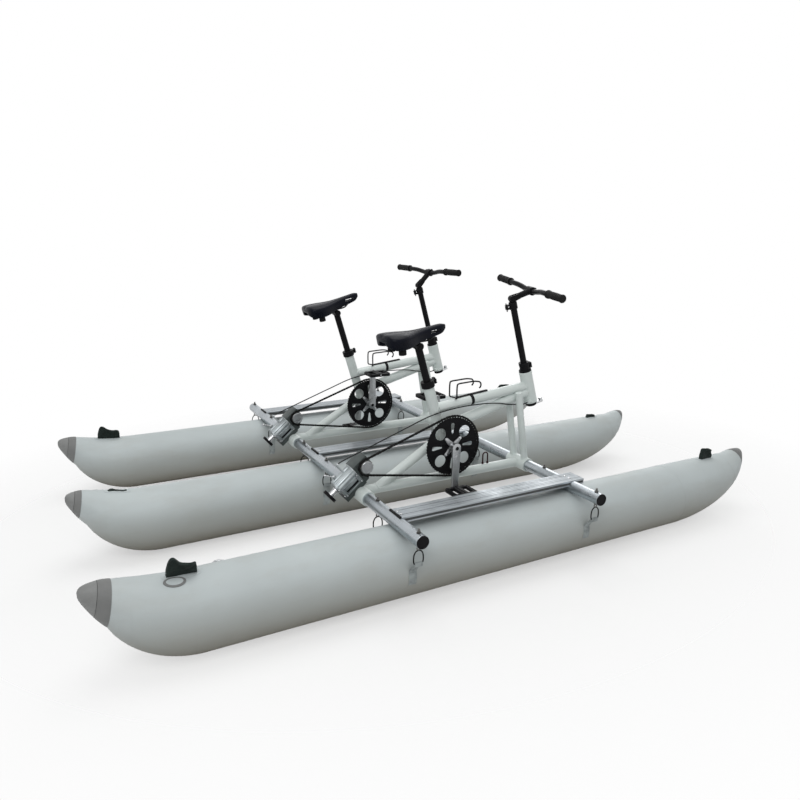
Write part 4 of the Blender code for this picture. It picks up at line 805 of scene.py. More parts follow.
def painted(name, colour, roughness, coat, peel=0.12, specular=0.5):
    """Sprayed or powder-coated metal with a faint orange peel."""
    material = finish(name, colour, roughness, 0.0, mottle=(5.0, 0.05), gloss=(16.0, 0.05), coat=coat,
                      grime_and_shade=shades(colour, 0.66), grime_share=0.25, specular=specular)
    return rough_surface(material, noise(material.node_tree, 330.0, 2.0), peel, 0.0003)


def cloth(name, colour, pitch, strength):
    """Woven webbing."""
    material = finish(name, colour, 0.88, mottle=(40.0, 0.35), gloss=(60.0, 0.06), specular=0.12)
    material.node_tree.nodes["Principled BSDF"].inputs["Sheen Weight"].default_value = 0.08
    return rough_surface(material, weave(material.node_tree, pitch), strength, 0.0008)


def leather(name, colour):
    """Padded saddle cover with a fine grain."""
    material = finish(name, colour, 0.3, mottle=(30.0, 0.25), gloss=(20.0, 0.06), coat=0.02, specular=0.07)
    tree = material.node_tree
    cells = node(tree, "ShaderNodeTexVoronoi", Scale=420.0)
    tree.links.new(object_coordinates(tree), cells.inputs["Vector"])
    return rough_surface(material, cells.outputs["Distance"], 0.18, 0.0005)


def moulded(name, colour, lines):
    """Moulded grey cap with fine rings along its length."""
    material = finish(name, colour, 0.6, mottle=(10.0, 0.12), grime_and_shade=(0.115, 0.118, 0.112), grime_share=0.4,
                      specular=0.3)
    return rough_surface(material, stripes(material.node_tree, lines, "X"), 0.25, 0.0006)


def make_finishes(colours):
    """Every finish of the object, by name."""
    steel = (0.6, 0.61, 0.62)
    FINISHES.update({
        "hull": hull_finish(colours.hull),
        "seam": finish("seam_tape", shades(colours.hull, 0.96), 0.48, mottle=(4.0, 0.05), specular=0.35),
        "cone": moulded("moulded_nose", colours.cone, 150.0),
        "cone_band": moulded("moulded_band", shades(colours.cone, 0.8), 260.0),
        "webbing": cloth("handle_webbing", colours.webbing, 0.0022, 0.7),
        "strap": cloth("lashing_strap", (0.3, 0.33, 0.33), 0.0022, 0.5),
        "thread": cloth("stitch_thread", (0.05, 0.06, 0.05), 0.0008, 0.3),
        "beam": brushed("drawn_aluminium_beam", shades(colours.aluminium, 0.84), 0.3, (1.0, 0.02, 1.0)),
        "plank": brushed("extruded_aluminium", shades(colours.aluminium, 0.72), 0.38, (0.02, 1.0, 1.0)),
        # Painted shade for the planks' grooves and side faces
        "groove": finish("groove_painted_shade", (0.075, 0.078, 0.078), 0.8, specular=0.1),
        "paint": painted("white_powder_coat", colours.frame_paint, 0.38, 0.12, specular=0.4),
        "black": painted("black_anodised", colours.black, 0.34, 0.0, 0.06, 0.05),
        "black_gloss": painted("black_gloss_paint", colours.black, 0.26, 0.01, 0.05, 0.09),
        "bright": brushed("turned_steel", steel, 0.22, (1.0, 1.0, 0.05)),
        "dark_steel": brushed("darkened_steel", (0.16, 0.16, 0.155), 0.36, (1.0, 1.0, 0.05)),
        "alloy": cast("forged_alloy", (0.43, 0.44, 0.45), 0.34, 1.0),
        "cast": cast("cast_aluminium", (0.33, 0.36, 0.37), 0.34, 1.0),
        "dark_cast": cast("dark_casting", (0.08, 0.094, 0.092), 0.46, 0.3, 0.25),
        "chain": brushed("oiled_chain", (0.018, 0.018, 0.018), 0.4, (1.0, 1.0, 1.0)),
        "rubber": cast("black_rubber", (0.01, 0.01, 0.01), 0.66, 0.0, 0.14),
        "plastic": cast("moulded_plastic", (0.008, 0.008, 0.009), 0.44, 0.0, 0.08),
        "cable": painted("cable_cover", (0.008, 0.008, 0.009), 0.42, 0.0, 0.05, 0.2),
        "saddle": leather("saddle_cover", colours.saddle),
        "loop": cast("dark_loop_rubber", (0.032, 0.006, 0.008), 0.5, 0.0, 0.2),
    })


class WATERBIKE_OT_finishes(bpy.types.Operator):
    """Make the finishes and put one on every CAD piece"""

    bl_idname = "water_bike.finishes"
    bl_label = "Finishes"

    def execute(self, context):
        make_finishes(context.scene.water_bike_colours)
        by_slot = {"pontoon_skin": "hull", "beam": "beam", "deck_plank": "plank", "frame_paint": "paint",
                   "black_wire": "black_gloss", "chain": "chain", "black_alloy": "black",
                   "bare_alloy": "alloy", "pedal": "plastic", "cast_housing": "cast",
                   "dark_casting": "dark_cast", "bright_steel": "bright", "cable_cover": "cable",
                   "grip_rubber": "rubber", "saddle_cover": "saddle", "loop_rubber": "loop"}
        for row in frame["record"]["subparts"]:
            part = frame["nodes"][row["node"]]
            part.data.materials.clear()
            part.data.materials.append(FINISHES[by_slot[row["material_slot"]]])
        return {"FINISHED"}


# Pontoons
def end_section(end, share):
    """Middle, upright direction and radius of a section, share 0 at the straight part and 1 at the cone."""
    height = 2 * PONTOON_RADIUS
    top_x = end.run + (end.top[0] - end.run) * share
    top_z = height + (end.top[1] - height) * share ** 2
    low_x = end.run + (end.low[0] - end.run) * share
    width = (end.low[0] - end.run) / math.sqrt(1 - (1 - end.low[1] / height) ** 2)
    low_z = height * (1 - math.sqrt(1 - ((low_x - end.run) / width) ** 2))
    high = Vector((top_x, 0.0, top_z))
    deep = Vector((low_x, 0.0, low_z))
    return (high + deep) / 2, (high - deep).normalized(), (high - deep).length / 2


def round_point(middle, rising, radius, angle):
    """A point of an upright ring, by its angle from the top towards port."""
    return middle + radius * (math.cos(angle) * rising + math.sin(angle) * Vector((0.0, 1.0, 0.0)))


def skin_point(end, share, degrees, lift=0.0):
    """A point on a pontoon's skin, by its end, its section and its angle from the top towards port."""
    middle, rising, radius = end_section(end, share)
    return round_point(middle, rising, radius + lift, math.radians(degrees))


def facing(point, end):
    """A point drawn for the bow, put at its own end."""
    return Vector((-point.x, point.y, point.z)) if end is STERN else point


def skin_ring(end, share, lift=0.0):
    """A ring of points on a pontoon's skin."""
    return [facing(skin_point(end, share, 360.0 * step / SKIN_SIDES, lift), end)
            for step in range(SKIN_SIDES)]


# Shares of a cone's length, each with the cone's size there
CONE_PROFILE = ((0.0, 1.0), (0.06, 0.975), (0.12, 0.945), (0.24, 0.88), (0.36, 0.8), (0.5, 0.695),
                (0.62, 0.59), (0.74, 0.48), (0.84, 0.375), (0.92, 0.27), (0.97, 0.17), (0.995, 0.06))


def cone_size(share):
    """Size of the end cone at a share of its length, 1 at its base."""
    for (near, wide), (far, slim) in zip(CONE_PROFILE, CONE_PROFILE[1:]):
        if share <= far:
            return wide + (slim - wide) * (share - near) / (far - near)
    return CONE_PROFILE[-1][1]


def cone_ring(end, share, lift=0.0):
    """A ring of points on the end cone, from its base to its blunt nose."""
    base, rising, radius = end_section(end, 1.0)
    middle = base + (Vector((end.tip[0], 0.0, end.tip[1])) - base) * share
    ring = []
    for step in range(SKIN_SIDES):
        point = round_point(middle, rising, radius * cone_size(share) + lift, 2 * math.pi * step / SKIN_SIDES)
        ring.append(facing(Vector((min(point.x, end.tip[0]), point.y, point.z)), end))
    return ring


def cone_shares(first, last):
    """Shares of the cone's stations between two places, both included."""
    return [first, *[share for share, _ in CONE_PROFILE if first < share < last], last]


def cone_band(end, first, last, lift):
    """One moulded band of an end cap, a little proud of the skin."""
    rings = [cone_ring(end, share, lift) for share in cone_shares(first, last)]
    return loft([cone_ring(end, first, -0.001), *rings])


def pontoon_skin(name):
    """The whole tube, from inside its stern cap to inside its bow cap."""
    stern_cap, bow_cap = CAP_START[name]
    shares = [step / 16 for step in range(16)]
    stern = [cone_ring(STERN, share) for share in reversed(cone_shares(0.0, stern_cap + CAP_OVERLAP))]
    stern += [skin_ring(STERN, share) for share in reversed(shares)]
    bow = [skin_ring(BOW, share) for share in shares]
    bow += [cone_ring(BOW, share) for share in cone_shares(0.0, bow_cap + CAP_OVERLAP)]
    ahead = shift(x=BOW_SHIFT[name])
    return loft(stern + [[ahead @ point for point in ring] for ring in bow])


def seam_tape(end, first, width):
    """A tape round the skin, from a share of the end's length, just proud of it."""
    corners = ((0.0, -0.0004), (0.0, 0.0004), (1.0, 0.0004), (1.0, -0.0004))
    return loft([skin_ring(end, first + width * step, lift) for step, lift in corners])


def skin_patch(end, share, degrees, length, width, lift, corner=0.35):
    """A thin patch glued to the skin, with rounded corners."""
    reach = end.top[0] - end.run
    count = 40
    power = 2.0 / (2.0 + 4.0 * (1 - corner))
    rings = []
    for size, rise in ((1.0, 0.0), (1.0, lift * 0.8), (0.985, lift), (0.5, lift)):
        ring = []
        for step in range(count):
            angle = 2 * math.pi * step / count
            x = math.copysign(abs(math.cos(angle)) ** power, math.cos(angle)) * length / 2 * size
            y = math.copysign(abs(math.sin(angle)) ** power, math.sin(angle)) * width / 2 * size
            place = skin_point(end, share + x / reach, degrees + math.degrees(y / PONTOON_RADIUS), rise)
            ring.append(facing(place, end))
        rings.append(ring)
    return loft(rings)


def handle_place(x):
    """The place of a carry handle on a pontoon's top line, turned to its slope."""
    end = STERN if x < 0 else BOW
    reach = end.top[0] - end.run
    share = max(0.0, (abs(x) - end.run) / reach)
    rise = end.top[1] - 2 * PONTOON_RADIUS
    slope = math.degrees(math.atan(2 * rise * share / reach))
    top = 2 * PONTOON_RADIUS + rise * share ** 2
    return shift(x, 0.0, top) @ turn(math.copysign(slope, -x), "Y"), end, share


def fold_line(length, height, crest):
    """The crest of a folded carry handle, as x and z."""
    return smooth_path([(share * length, 0.0, rise * height) for share, rise in crest], 6)


def fold_side(x, level, length, width):
    """How far the folded webbing swings aside at a place, and how thick it is there."""
    swing = 0.0075 * math.sin(2 * math.pi * (0.55 * level + 0.9 * x / length)) * level
    swing += 0.0024 * math.sin(2 * math.pi * (1.6 * level - 2.6 * x / length)) * level
    return swing, width / 2 * (1.0 - 0.45 * level)


def folded_handle(length, height, width, crest):
    """A carry handle that lies bunched on its patch, as a soft ridge of folded webbing."""
    rings = []
    for point in fold_line(length, height, crest):
        top = max(0.0012, point.z)
        near, far = [], []
        for step in range(9):
            level = step / 8
            swing, half = fold_side(point.x, level, length, width * min(1.0, 0.35 + top / 0.03))
            z = -0.002 + (top + 0.002) * level
            near.append(Vector((point.x, swing - half, z)))
            far.append(Vector((point.x, swing + half, z)))
        rings.append(near + list(reversed(far)))
    return loft(rings)


def fold_stitches(length, height, width, crest):
    """Guide lines for the stitches along a folded handle's crest, two on each side."""
    lines = []
    for side in (-1, 1):
        for drop in (0.8, 0.45):
            line = []
            for point in fold_line(length, height, crest)[8:-8]:
                swing, half = fold_side(point.x, drop, length, width)
                line.append(Vector((point.x, swing + side * half, point.z * drop)))
            lines.append(line)
    return lines


class WATERBIKE_OT_pontoons(bpy.types.Operator):
    """Build the pontoons' skins, grey caps, seams, carry handles, patches and valves"""

    bl_idname = "water_bike.pontoons"
    bl_label = "Pontoons"

    def execute(self, context):
        for name, y in PONTOONS.items():
            side = shift(y=y)
            self.build_tube(name, side, context.scene.water_bike_sizes.seam_width)
            self.build_handles(name, side, context.scene.water_bike_sizes.fold_width)
            own_piece(name, "air_valve", air_valve(), side @ valve_place(), "alloy")
        return {"FINISHED"}

    def build_tube(self, name, side, seam_width):
        """The skin, the caps' bands and noses, and the seam tapes."""
        bands, noses, tapes = [], [], []
        for end, cap, x in ((STERN, CAP_START[name][0], 0.0), (BOW, CAP_START[name][1], BOW_SHIFT[name])):
            seam = cap + BAND_SHARE * (1.0 - cap)
            bands.append(moved(cone_band(end, cap, seam, 0.0009), shift(x)))
            noses.append(moved(cone_band(end, seam + BAND_GAP, NOSE_END, 0.0004), shift(x)))
            width = seam_width / (end.top[0] - end.run)
            tapes += [moved(seam_tape(end, first, width), shift(x)) for first in (0.02, 0.93 - width)]
        own_piece(name, "pontoon_skin", pontoon_skin(name), side, "hull", node="pontoon")
        own_piece(name, "pontoon_bands", merged(*bands), side, "cone_band")
        own_piece(name, "pontoon_noses", merged(*noses), side, "cone")
        own_piece(name, "pontoon_seams", merged(*tapes), side, "hull")

    def build_handles(self, name, side, width):
        """The folded carry handles with their patches and stitches."""
        stitch = block((-0.0009, -0.0003, -0.0003), (0.0009, 0.0003, 0.0003))
        folds, patches, threads = [], [], []
        for x, length, height, lean in HANDLES[name]:
            place, end, share = handle_place(x)
            place = place @ turn(lean, "X")
            crest = STERN_CREST if x < 0 else BOW_CREST
            folds.append(moved(folded_handle(length, height, width, crest), place))
            patches.append(skin_patch(end, share, 0.0, length + PATCH_MARGIN, PATCH_WIDTH, 0.001))
            if height < STITCHED_HEIGHT:
                continue
            for line in fold_stitches(length, height, width, crest):
                row = along_path(stitch, line, round(length / STITCH_PITCH), (0.0, 0.0, 1.0), "thread")
                threads.append(moved(row, place))
        if name == "starboard":
            ring = skin_patch(STERN, *OVAL_PLACE, 0.066, 0.044, 0.0024, 1.0)
            piece("handle_oval_ring", moved(ring, side), "cone_band", "deck")
            patches.append(skin_patch(STERN, *OVAL_PLACE, 0.05, 0.03, 0.0032, 1.0))
        own_piece(name, "handle_patches", merged(*patches), side, "seam")
        own_piece(name, "carry_handles", merged(*folds), side, "webbing")
        if threads:
            own_piece(name, "handle_stitches", merged(*threads), side, "thread")


def valve_place():
    """The place of an air valve on the skin, its Z axis outwards."""
    return shift(-1.05, 0.0, PONTOON_RADIUS) @ turn(-45, "X") @ shift(z=PONTOON_RADIUS)


def air_valve():
    """Flanged air valve with a stepped cap and a raised grip."""
    profile = [(0.0, 0.0088), (0.012, 0.0088), (0.0138, 0.0074), (0.014, 0.005), (0.0168, 0.0048),
               (0.018, 0.0036), (0.0225, 0.003), (0.0252, 0.0018), (0.0258, -0.001), (0.0, -0.001)]
    return merged(lathe(profile), block((-0.0008, -0.0095, 0.0084), (0.0008, 0.0095, 0.0102), 0.0003))


# Deck
def plug_profile():
    """Black end plug of a beam."""
    return [(0.0, 0.0012), (BEAM_RADIUS - 0.0045, 0.0012), (BEAM_RADIUS - 0.003, 0.0034),
            (BEAM_RADIUS - 0.0012, 0.0036), (BEAM_RADIUS - 0.0004, 0.0024), (BEAM_RADIUS - 0.0004, -0.0005),
            (0.0, -0.0005)]


def washer(radius, height, sides, foot):
    """A plain disc or nut with its lower face at a height."""
    return moved(lathe([(0.0, 0.0), (radius, 0.0), (radius, height), (0.0, height)], sides), shift(z=foot))


def eye_bolt():
    """Eye bolt through a beam, about the beam's centre: threaded end, nuts and washers, and eye."""
    thread = [(0.0, BEAM_RADIUS + 0.015)]
    height = BEAM_RADIUS + 0.0145
    while height > BEAM_RADIUS + 0.0008:
        thread += [(0.0036, height), (0.0042, height - 0.0005)]
        height -= 0.001
    thread += [(0.004, BEAM_RADIUS - 0.004), (0.0, BEAM_RADIUS - 0.004)]
    nut = moved(lathe([(0.0, 0.0), (0.0066, 0.0), (0.0072, 0.0008), (0.0072, 0.0044), (0.0066, 0.005),
                       (0.0, 0.005)], 6), shift(z=BEAM_RADIUS + 0.001))
    low = -BEAM_RADIUS
    shank = bar((0, 0, low + 0.003), (0, 0, low - 0.006), 0.004, 0.0, 16)
    eye = wire([Vector((x, 0.0, z)) for x, z in circle((0.0, low - 0.009), 0.0062, 26)], 0.0024, 10, True,
               (0.0, 1.0, 0.0))
    return merged(lathe(thread, 16), nut, washer(0.0088, 0.0012, 28, BEAM_RADIUS - 0.0003), shank,
                  washer(0.0078, 0.003, 6, low - 0.0026), eye)


def d_ring():
    """The ring below an eye bolt: a rounded horseshoe with a straight foot."""
    top = RING_LOW + RING_HEIGHT - 0.0005
    half = RING_HALF - 0.0022
    points = [(0.0, 0.0, top), (0.01, 0.0, top - 0.004), (0.0165, 0.0, top - 0.014),
              (half, 0.0, top - 0.027), (half - 0.0004, 0.0, RING_LOW + 0.011),
              (half - 0.003, 0.0, RING_LOW + 0.004), (half - 0.009, 0.0, RING_LOW + 0.0022)]
    mirrored = [(-x, y, z) for x, y, z in reversed(points[1:])]
    path = smooth_path([*points, (0.0, 0.0, RING_LOW + 0.002), *mirrored, points[0]], 4)[:-1]
    return wire(path, 0.0024, 10, True, (0.0, 1.0, 0.0))


def flank_point(degrees, lift):
    """A point just off a pontoon's port flank, by its angle from the top, about the pontoon's middle."""
    angle = math.radians(degrees)
    radius = PONTOON_RADIUS + lift
    return Vector((0.0, radius * math.sin(angle), PONTOON_RADIUS + radius * math.cos(angle)))


def flank_strip(points, section, offset):
    """A flat strip through points drawn for the port flank, put on the side of its offset."""
    mesh = sweep(points, section, up=(0.0, 1.0, 0.4))
    return moved(mesh, Matrix.Diagonal((1.0, math.copysign(1.0, offset), 1.0, 1.0)))


def flank_patch(width, offset):
    """The patch on a pontoon's flank that a lashing strap is welded to."""
    points = [flank_point(86.0 + 2.5 * step, 0.0005) for step in range(9)]
    return flank_strip(points, band(width, 0.0014, 0.0004), offset)


def lashing_strap(width, offset):
    """Webbing from a ring down to its patch on the pontoon's flank."""
    out = abs(offset)
    ring_z = BEAM_Z + RING_LOW + 0.004
    points = [Vector((0.0, out + 0.0032, ring_z - 0.012)), Vector((0.0, out + 0.003, ring_z)),
              Vector((0.0, out, ring_z + 0.0022)), Vector((0.0, out - 0.0032, ring_z)),
              flank_point(80.0, 0.0026)]
    points += [flank_point(degrees, 0.0018) for degrees in (85.0, 91.0, 97.0, 103.0)]
    return flank_strip(smooth_path(points, 5), band(width, 0.0018, 0.0006), offset)


def bolt_offsets(y):
    """The eye bolts' offsets from a pontoon's middle; an outboard one stands further out."""
    return [side * (BOLT_OUT if y * side > 0 else BOLT_IN) for side in (-1, 1)]


class WATERBIKE_OT_beams(bpy.types.Operator):
    """Build the cross beams with their plugs, eye bolts, rings, straps and patches"""

    bl_idname = "water_bike.beams"
    bl_label = "Cross beams"

    def execute(self, context):
        sizes = context.scene.water_bike_sizes
        for name, x in BEAM_X.items():
            middle = shift(x, 0.0, BEAM_Z)
            tube = pipe((x, -BEAM_HALF_LENGTH, BEAM_Z), (x, BEAM_HALF_LENGTH, BEAM_Z), BEAM_RADIUS, 0.0028,
                        0.0006, sizes.round_sides)
            piece(name + "_tube", tube, "beam", "deck", [name])
            plugs = [moved(lathe(plug_profile()),
                           middle @ shift(y=side * BEAM_HALF_LENGTH) @ turn(-90 * side, "X"))
                     for side in (-1, 1)]
            places, straps, patches = [], [], []
            for y in PONTOONS.values():
                for offset in bolt_offsets(y):
                    places.append(middle @ shift(y=y + offset))
                    straps.append(moved(lashing_strap(sizes.strap_width, offset), shift(x, y)))
                    patches.append(moved(flank_patch(sizes.strap_width * 1.15, offset), shift(x, y)))
            fittings = {"_plugs": (merged(*plugs), "plastic"),
                        "_eye_bolts": (at_points(eye_bolt(), places, "dark_steel"), "dark_steel"),
                        "_rings": (at_points(d_ring(), places, "chain"), "chain"),
                        "_straps": (merged(*straps), "strap"),
                        "_patches": (merged(*patches), "hull")}
            for label, (mesh, finish_name) in fittings.items():
                piece(name + label, mesh, finish_name, "deck")
        return {"FINISHED"}


GROOVES = (-0.03, -0.019, -0.0075, 0.0075, 0.019, 0.03)


def plank_outline():
    """Section of a deck plank, with fine grooves along its top."""
    half = PLANK_WIDTH / 2
    inner = half - PLANK_WALL
    outline = [(-half, -PLANK_DEPTH), (-half, -0.0012), (-half + 0.0012, 0.0)]
    for groove in GROOVES:
        outline += [(groove - 0.002, 0.0), (groove - 0.0012, -0.0012), (groove + 0.0012, -0.0012),
                    (groove + 0.002, 0.0)]
    outline += [(half - 0.0012, 0.0), (half, -0.0012), (half, -PLANK_DEPTH), (inner, -PLANK_DEPTH),
                (inner, -PLANK_WALL), (-inner, -PLANK_WALL), (-inner, -PLANK_DEPTH)]
    return outline


def screw_head():
    """Pan-head screw with a cross slot."""
    head = lathe([(0.0, 0.0028), (0.0028, 0.0027), (0.0048, 0.0018), (0.0054, 0.0002), (0.0054, -0.0004),
                  (0.0, -0.0004)], 24)
    return merged(head, block((-0.0024, -0.0004, 0.002), (0.0024, 0.0004, 0.0029)),
                  block((-0.0004, -0.0024, 0.002), (0.0004, 0.0024, 0.0029)))


class WATERBIKE_OT_planks(bpy.types.Operator):
    """Build the grooved deck planks with their screws, rubber end strips and painted shade strips in the grooves
    and along the sides
    """

    bl_idname = "water_bike.planks"
    bl_label = "Deck planks"

    def execute(self, context):
        length = PLANK_FRONT_X - PLANK_REAR_X
        middle = (PLANK_FRONT_X + PLANK_REAR_X) / 2
        across = Matrix(((0, 0, 1, 0), (1, 0, 0, 0), (0, 1, 0, 0), (0, 0, 0, 1)))
        body = moved(plate(plank_outline(), length, 0.0001), shift(middle, 0.0, PLANK_TOP_Z) @ across)
        places = [shift(x, side * PLANK_SCREW_Y, PLANK_TOP_Z) for x in PLANK_SCREW_X for side in (-1, 1)]
        screws = at_points(screw_head(), places, "bright")
        strip = block((PLANK_REAR_X - 0.008, -PLANK_WIDTH / 2, PLANK_TOP_Z - 0.0215),
                      (PLANK_REAR_X + 0.0008, PLANK_WIDTH / 2, PLANK_TOP_Z + 0.002), 0.0012)
        # Painted shade: dark strips in two of the top grooves and dark bands along both side faces, where shade
        # falls
        dark = [block((PLANK_REAR_X + 0.001, groove - 0.0015, PLANK_TOP_Z - 0.0013),
                      (PLANK_FRONT_X - 0.0005, groove + 0.0015, PLANK_TOP_Z - 0.0004))
                for groove in GROOVES[1::3]]
        for face in (-PLANK_WIDTH / 2, PLANK_WIDTH / 2):
            dark.append(block((PLANK_REAR_X + 0.004, face - 0.0003, PLANK_TOP_Z - 0.0165),
                              (PLANK_FRONT_X - 0.004, face + 0.0003, PLANK_TOP_Z - 0.0075)))
        grime_and_shade = merged(*dark)
        for name, y in PONTOONS.items():
            side = shift(y=y)
            own_piece(name, "deck_plank", body, side, "plank", node="plank")
            own_piece(name, "plank_strip", strip, side, "rubber")
            own_piece(name, "plank_grime", grime_and_shade, side, "groove")
            own_piece(name, "plank_screws", screws, side, "bright")
        return {"FINISHED"}


# Bike frames
def sleeve(x, half):
    """Sleeve round a cross beam, with chamfered rims."""
    return pipe((x, -half, BEAM_Z), (x, half, BEAM_Z), SLEEVE_RADIUS, 0.0057, 0.0012)


def lower_frame_mesh(weld):
    """Sleeves, bottom rail, rear stay, struts and their welds."""
    rear_x, front_x = BEAM_X["rear_beam"], BEAM_X["front_beam"]
    rear, front = (rear_x, 0.0, BEAM_Z), (front_x, 0.0, BEAM_Z)
    rear_line = (rear, (rear_x, 1.0, BEAM_Z), SLEEVE_RADIUS)
    front_line = (front, (front_x, 1.0, BEAM_Z), SLEEVE_RADIUS)
    stay = ((STAY_LOW_X, 0, BEAM_Z), flat(STAY_TOP))
    inset = BEAM_RADIUS + 0.003
    parts = [sleeve(rear_x, REAR_SLEEVE_HALF), sleeve(front_x, FRONT_SLEEVE_HALF),
             bar((rear_x + inset, 0, BEAM_Z), (front_x - inset, 0, BEAM_Z), RAIL_RADIUS),
             bar(*stay, STAY_RADIUS)]
    joins = [(rear, front, RAIL_RADIUS, *rear_line), (front, rear, RAIL_RADIUS, *front_line),
             (*stay, STAY_RADIUS, rear, front, RAIL_RADIUS)]
    foot, top = Vector(front), Vector(flat(STRUT_TOP))
    for side in (-1, 1):
        aside = Vector((0.0, side * (DOWN_TUBE_RADIUS + STRUT_RADIUS + FIT), 0.0))
        ahead = (top - foot).normalized() * inset
        parts.append(bar(foot + ahead + aside, top + aside, STRUT_RADIUS, 0.0015))
        joins.append((foot + aside, top + aside, STRUT_RADIUS, *front_line))
    return merged(*parts, *[weld_bead(weld_line(*join), weld) for join in joins])


def main_frame_mesh(weld):
    """Seat tube, bracket shell, head, top and down tubes, cable stop and their welds."""
    seat = (flat(SEAT_TUBE_LOW), flat(SEAT_TUBE_HIGH))
    shell = (flat(CRANK_AXIS, -SHELL_HALF_WIDTH), flat(CRANK_AXIS, SHELL_HALF_WIDTH))
    head = (HEAD_PLACE @ Vector((0, 0, HEAD_LOW)), HEAD_PLACE @ Vector((0, 0, HEAD_HIGH)))
    head_wall = HEAD_RADIUS - STEERER_RADIUS - 2 * FIT
    parts = [pipe(*seat, SEAT_TUBE_RADIUS, SEAT_TUBE_RADIUS - POST_RADIUS - 2 * FIT, 0.001),
             pipe(*shell, SHELL_RADIUS, 0.011, 0.001), pipe(*head, HEAD_RADIUS, head_wall, 0.001)]
    for low, high in ((HEAD_LOW, HEAD_LOW + HEAD_RIM), (HEAD_HIGH - HEAD_RIM, HEAD_HIGH)):
        parts.append(pipe(HEAD_PLACE @ Vector((0, 0, low)), HEAD_PLACE @ Vector((0, 0, high)),
                          HEAD_RADIUS + 0.0006, head_wall + 0.0006, 0.001))
    joins = []
    for tube, radius in ((TOP_TUBE, TOP_TUBE_RADIUS), (DOWN_TUBE, DOWN_TUBE_RADIUS)):
        rear, front = Vector(flat(tube[0])), Vector(flat(tube[1]))
        run = (front - rear).normalized()
        parts.append(carved(bar(rear + run * 0.018, front - run * 0.021, radius),
                            bar(*seat, POST_RADIUS + 3 * FIT)))
        joins += [(rear, front, radius, *seat, SEAT_TUBE_RADIUS), (front, rear, radius, *head, HEAD_RADIUS)]
    joins.append((*seat, SEAT_TUBE_RADIUS, *shell, SHELL_RADIUS))
    x, y, z = CABLE_STOP
    stop = moved(block((x, y - 0.006, z - 0.006), (x + 0.018, y + 0.006, z + 0.006), 0.0015), HEAD_PLACE)
    return merged(*parts, *[weld_bead(weld_line(*join), weld) for join in joins], stop)


class WATERBIKE_OT_frames(bpy.types.Operator):
    """Build both bikes' welded frames"""

    bl_idname = "water_bike.frames"
    bl_label = "Bike frames"

    def execute(self, context):
        weld = context.scene.water_bike_sizes.weld_radius
        lower, upper = lower_frame_mesh(weld), main_frame_mesh(weld)
        for bike in BIKES:
            side = shift(y=BIKE_Y[bike])
            own_piece(bike, "frame_base", lower, side, "paint", node="lower_frame")
            own_piece(bike, "frame_tubes", upper, side, "paint", node="main_frame")
        return {"FINISHED"}


def cage_path():
    """Bends of the bottle cage's wire, from its starboard hook to its port hook."""
    slope = (TOP_TUBE[1][1] - TOP_TUBE[0][1]) / (TOP_TUBE[1][0] - TOP_TUBE[0][0])
    lift = TOP_TUBE_RADIUS * math.sqrt(1 + slope * slope) + CAGE_LIFT + FIT

    def over_tube(x):
        return TOP_TUBE[0][1] + slope * (x - TOP_TUBE[0][0]) + lift

    halves = []
    for side in (-1, 1):
        base = side * 0.0035
        wide = side * 0.028
        hook = [(x, wide, z) for x, z in circle((0.092, 0.67), 0.015, 7, 80, -60)]
        halves.append([(0.15, base, over_tube(0.15)), (0.08, base, over_tube(0.08)),
                       (0.01, base, over_tube(0.01)), (-0.006, side * 0.012, over_tube(-0.006) + 0.002),
                       (-0.01, wide * 0.94, over_tube(-0.01) + 0.004),
                       (-0.0105, wide, over_tube(0.0) + 0.018), (-0.01, wide, 0.672), (-0.004, wide, 0.684),
                       (0.03, wide, 0.6865), (0.07, wide, 0.688), *hook])
    front = (0.156, 0.0, over_tube(0.156))
    return smooth_path([*reversed(halves[0]), front, *halves[1]], 5)


class WATERBIKE_OT_cages(bpy.types.Operator):
    """Build the bottle cages and the lashing hoop"""

    bl_idname = "water_bike.cages"
    bl_label = "Cages and hoop"

    def execute(self, context):
        cage = wire(cage_path(), 0.0032, 12, up=(0, 1, 0.2))
        clip_z = TOP_TUBE[0][1] + 0.102 * (0.075 - TOP_TUBE[0][0])
        clip = pipe((0.07, 0, clip_z), (0.084, 0, clip_z + 0.0014), TOP_TUBE_RADIUS + 0.0014, 0.0012, 0.0003)
        for bike in BIKES:
            side = shift(y=BIKE_Y[bike])
            own_piece(bike, "cage_wire", cage, side, "black_gloss", node="bottle_cage")
            own_piece(bike, "cage_clip", clip, side, "black_gloss")
        foot_z = BEAM_Z + RAIL_RADIUS + FIT
        top_z = foot_z + 0.038
        arch = [(HOOP_HALF, 0.0, foot_z + 0.003), (HOOP_HALF, 0.0, top_z),
                *[(x, 0.0, z) for x, z in circle((0.0, top_z), HOOP_HALF, 9, 20, 160)],
                (-HOOP_HALF, 0.0, top_z), (-HOOP_HALF, 0.0, foot_z + 0.003)]
        foot = lathe([(0.0, 0.0), (0.0044, 0.0), (0.0052, 0.0022), (0.0046, 0.0064), (0.0026, 0.0088),
                      (0.0, 0.0088)], 20)
        feet = [moved(foot, shift(side * HOOP_HALF, 0.0, foot_z)) for side in (-1, 1)]
        hoop = merged(wire(arch, 0.003, 12, up=(0, 1, 0)), *feet)
        piece("lashing_hoop", moved(hoop, shift(0.163, BIKE_Y["starboard"])), "loop", "deck",
              ["lashing_loop"])
        return {"FINISHED"}


# Chain drive
def wheel_tip(teeth):
    """Tip radius of a toothed chain wheel."""
    return CHAIN_PITCH / (2 * math.sin(math.pi / teeth)) + TOOTH_HEIGHT / 2 - 0.001


def toothed_outline(teeth, tip, root):
    """Rounded teeth round a chain wheel."""
    outline = []
    for tooth in range(teeth):
        for part, radius in ((-0.13, tip - 0.0006), (0.0, tip), (0.13, tip - 0.0006), (0.3, root + 0.0008),
                             (0.5, root), (0.7, root + 0.0008)):
            angle = 2 * math.pi * (tooth + part) / teeth
            outline.append((radius * math.cos(angle), radius * math.sin(angle)))
    return outline


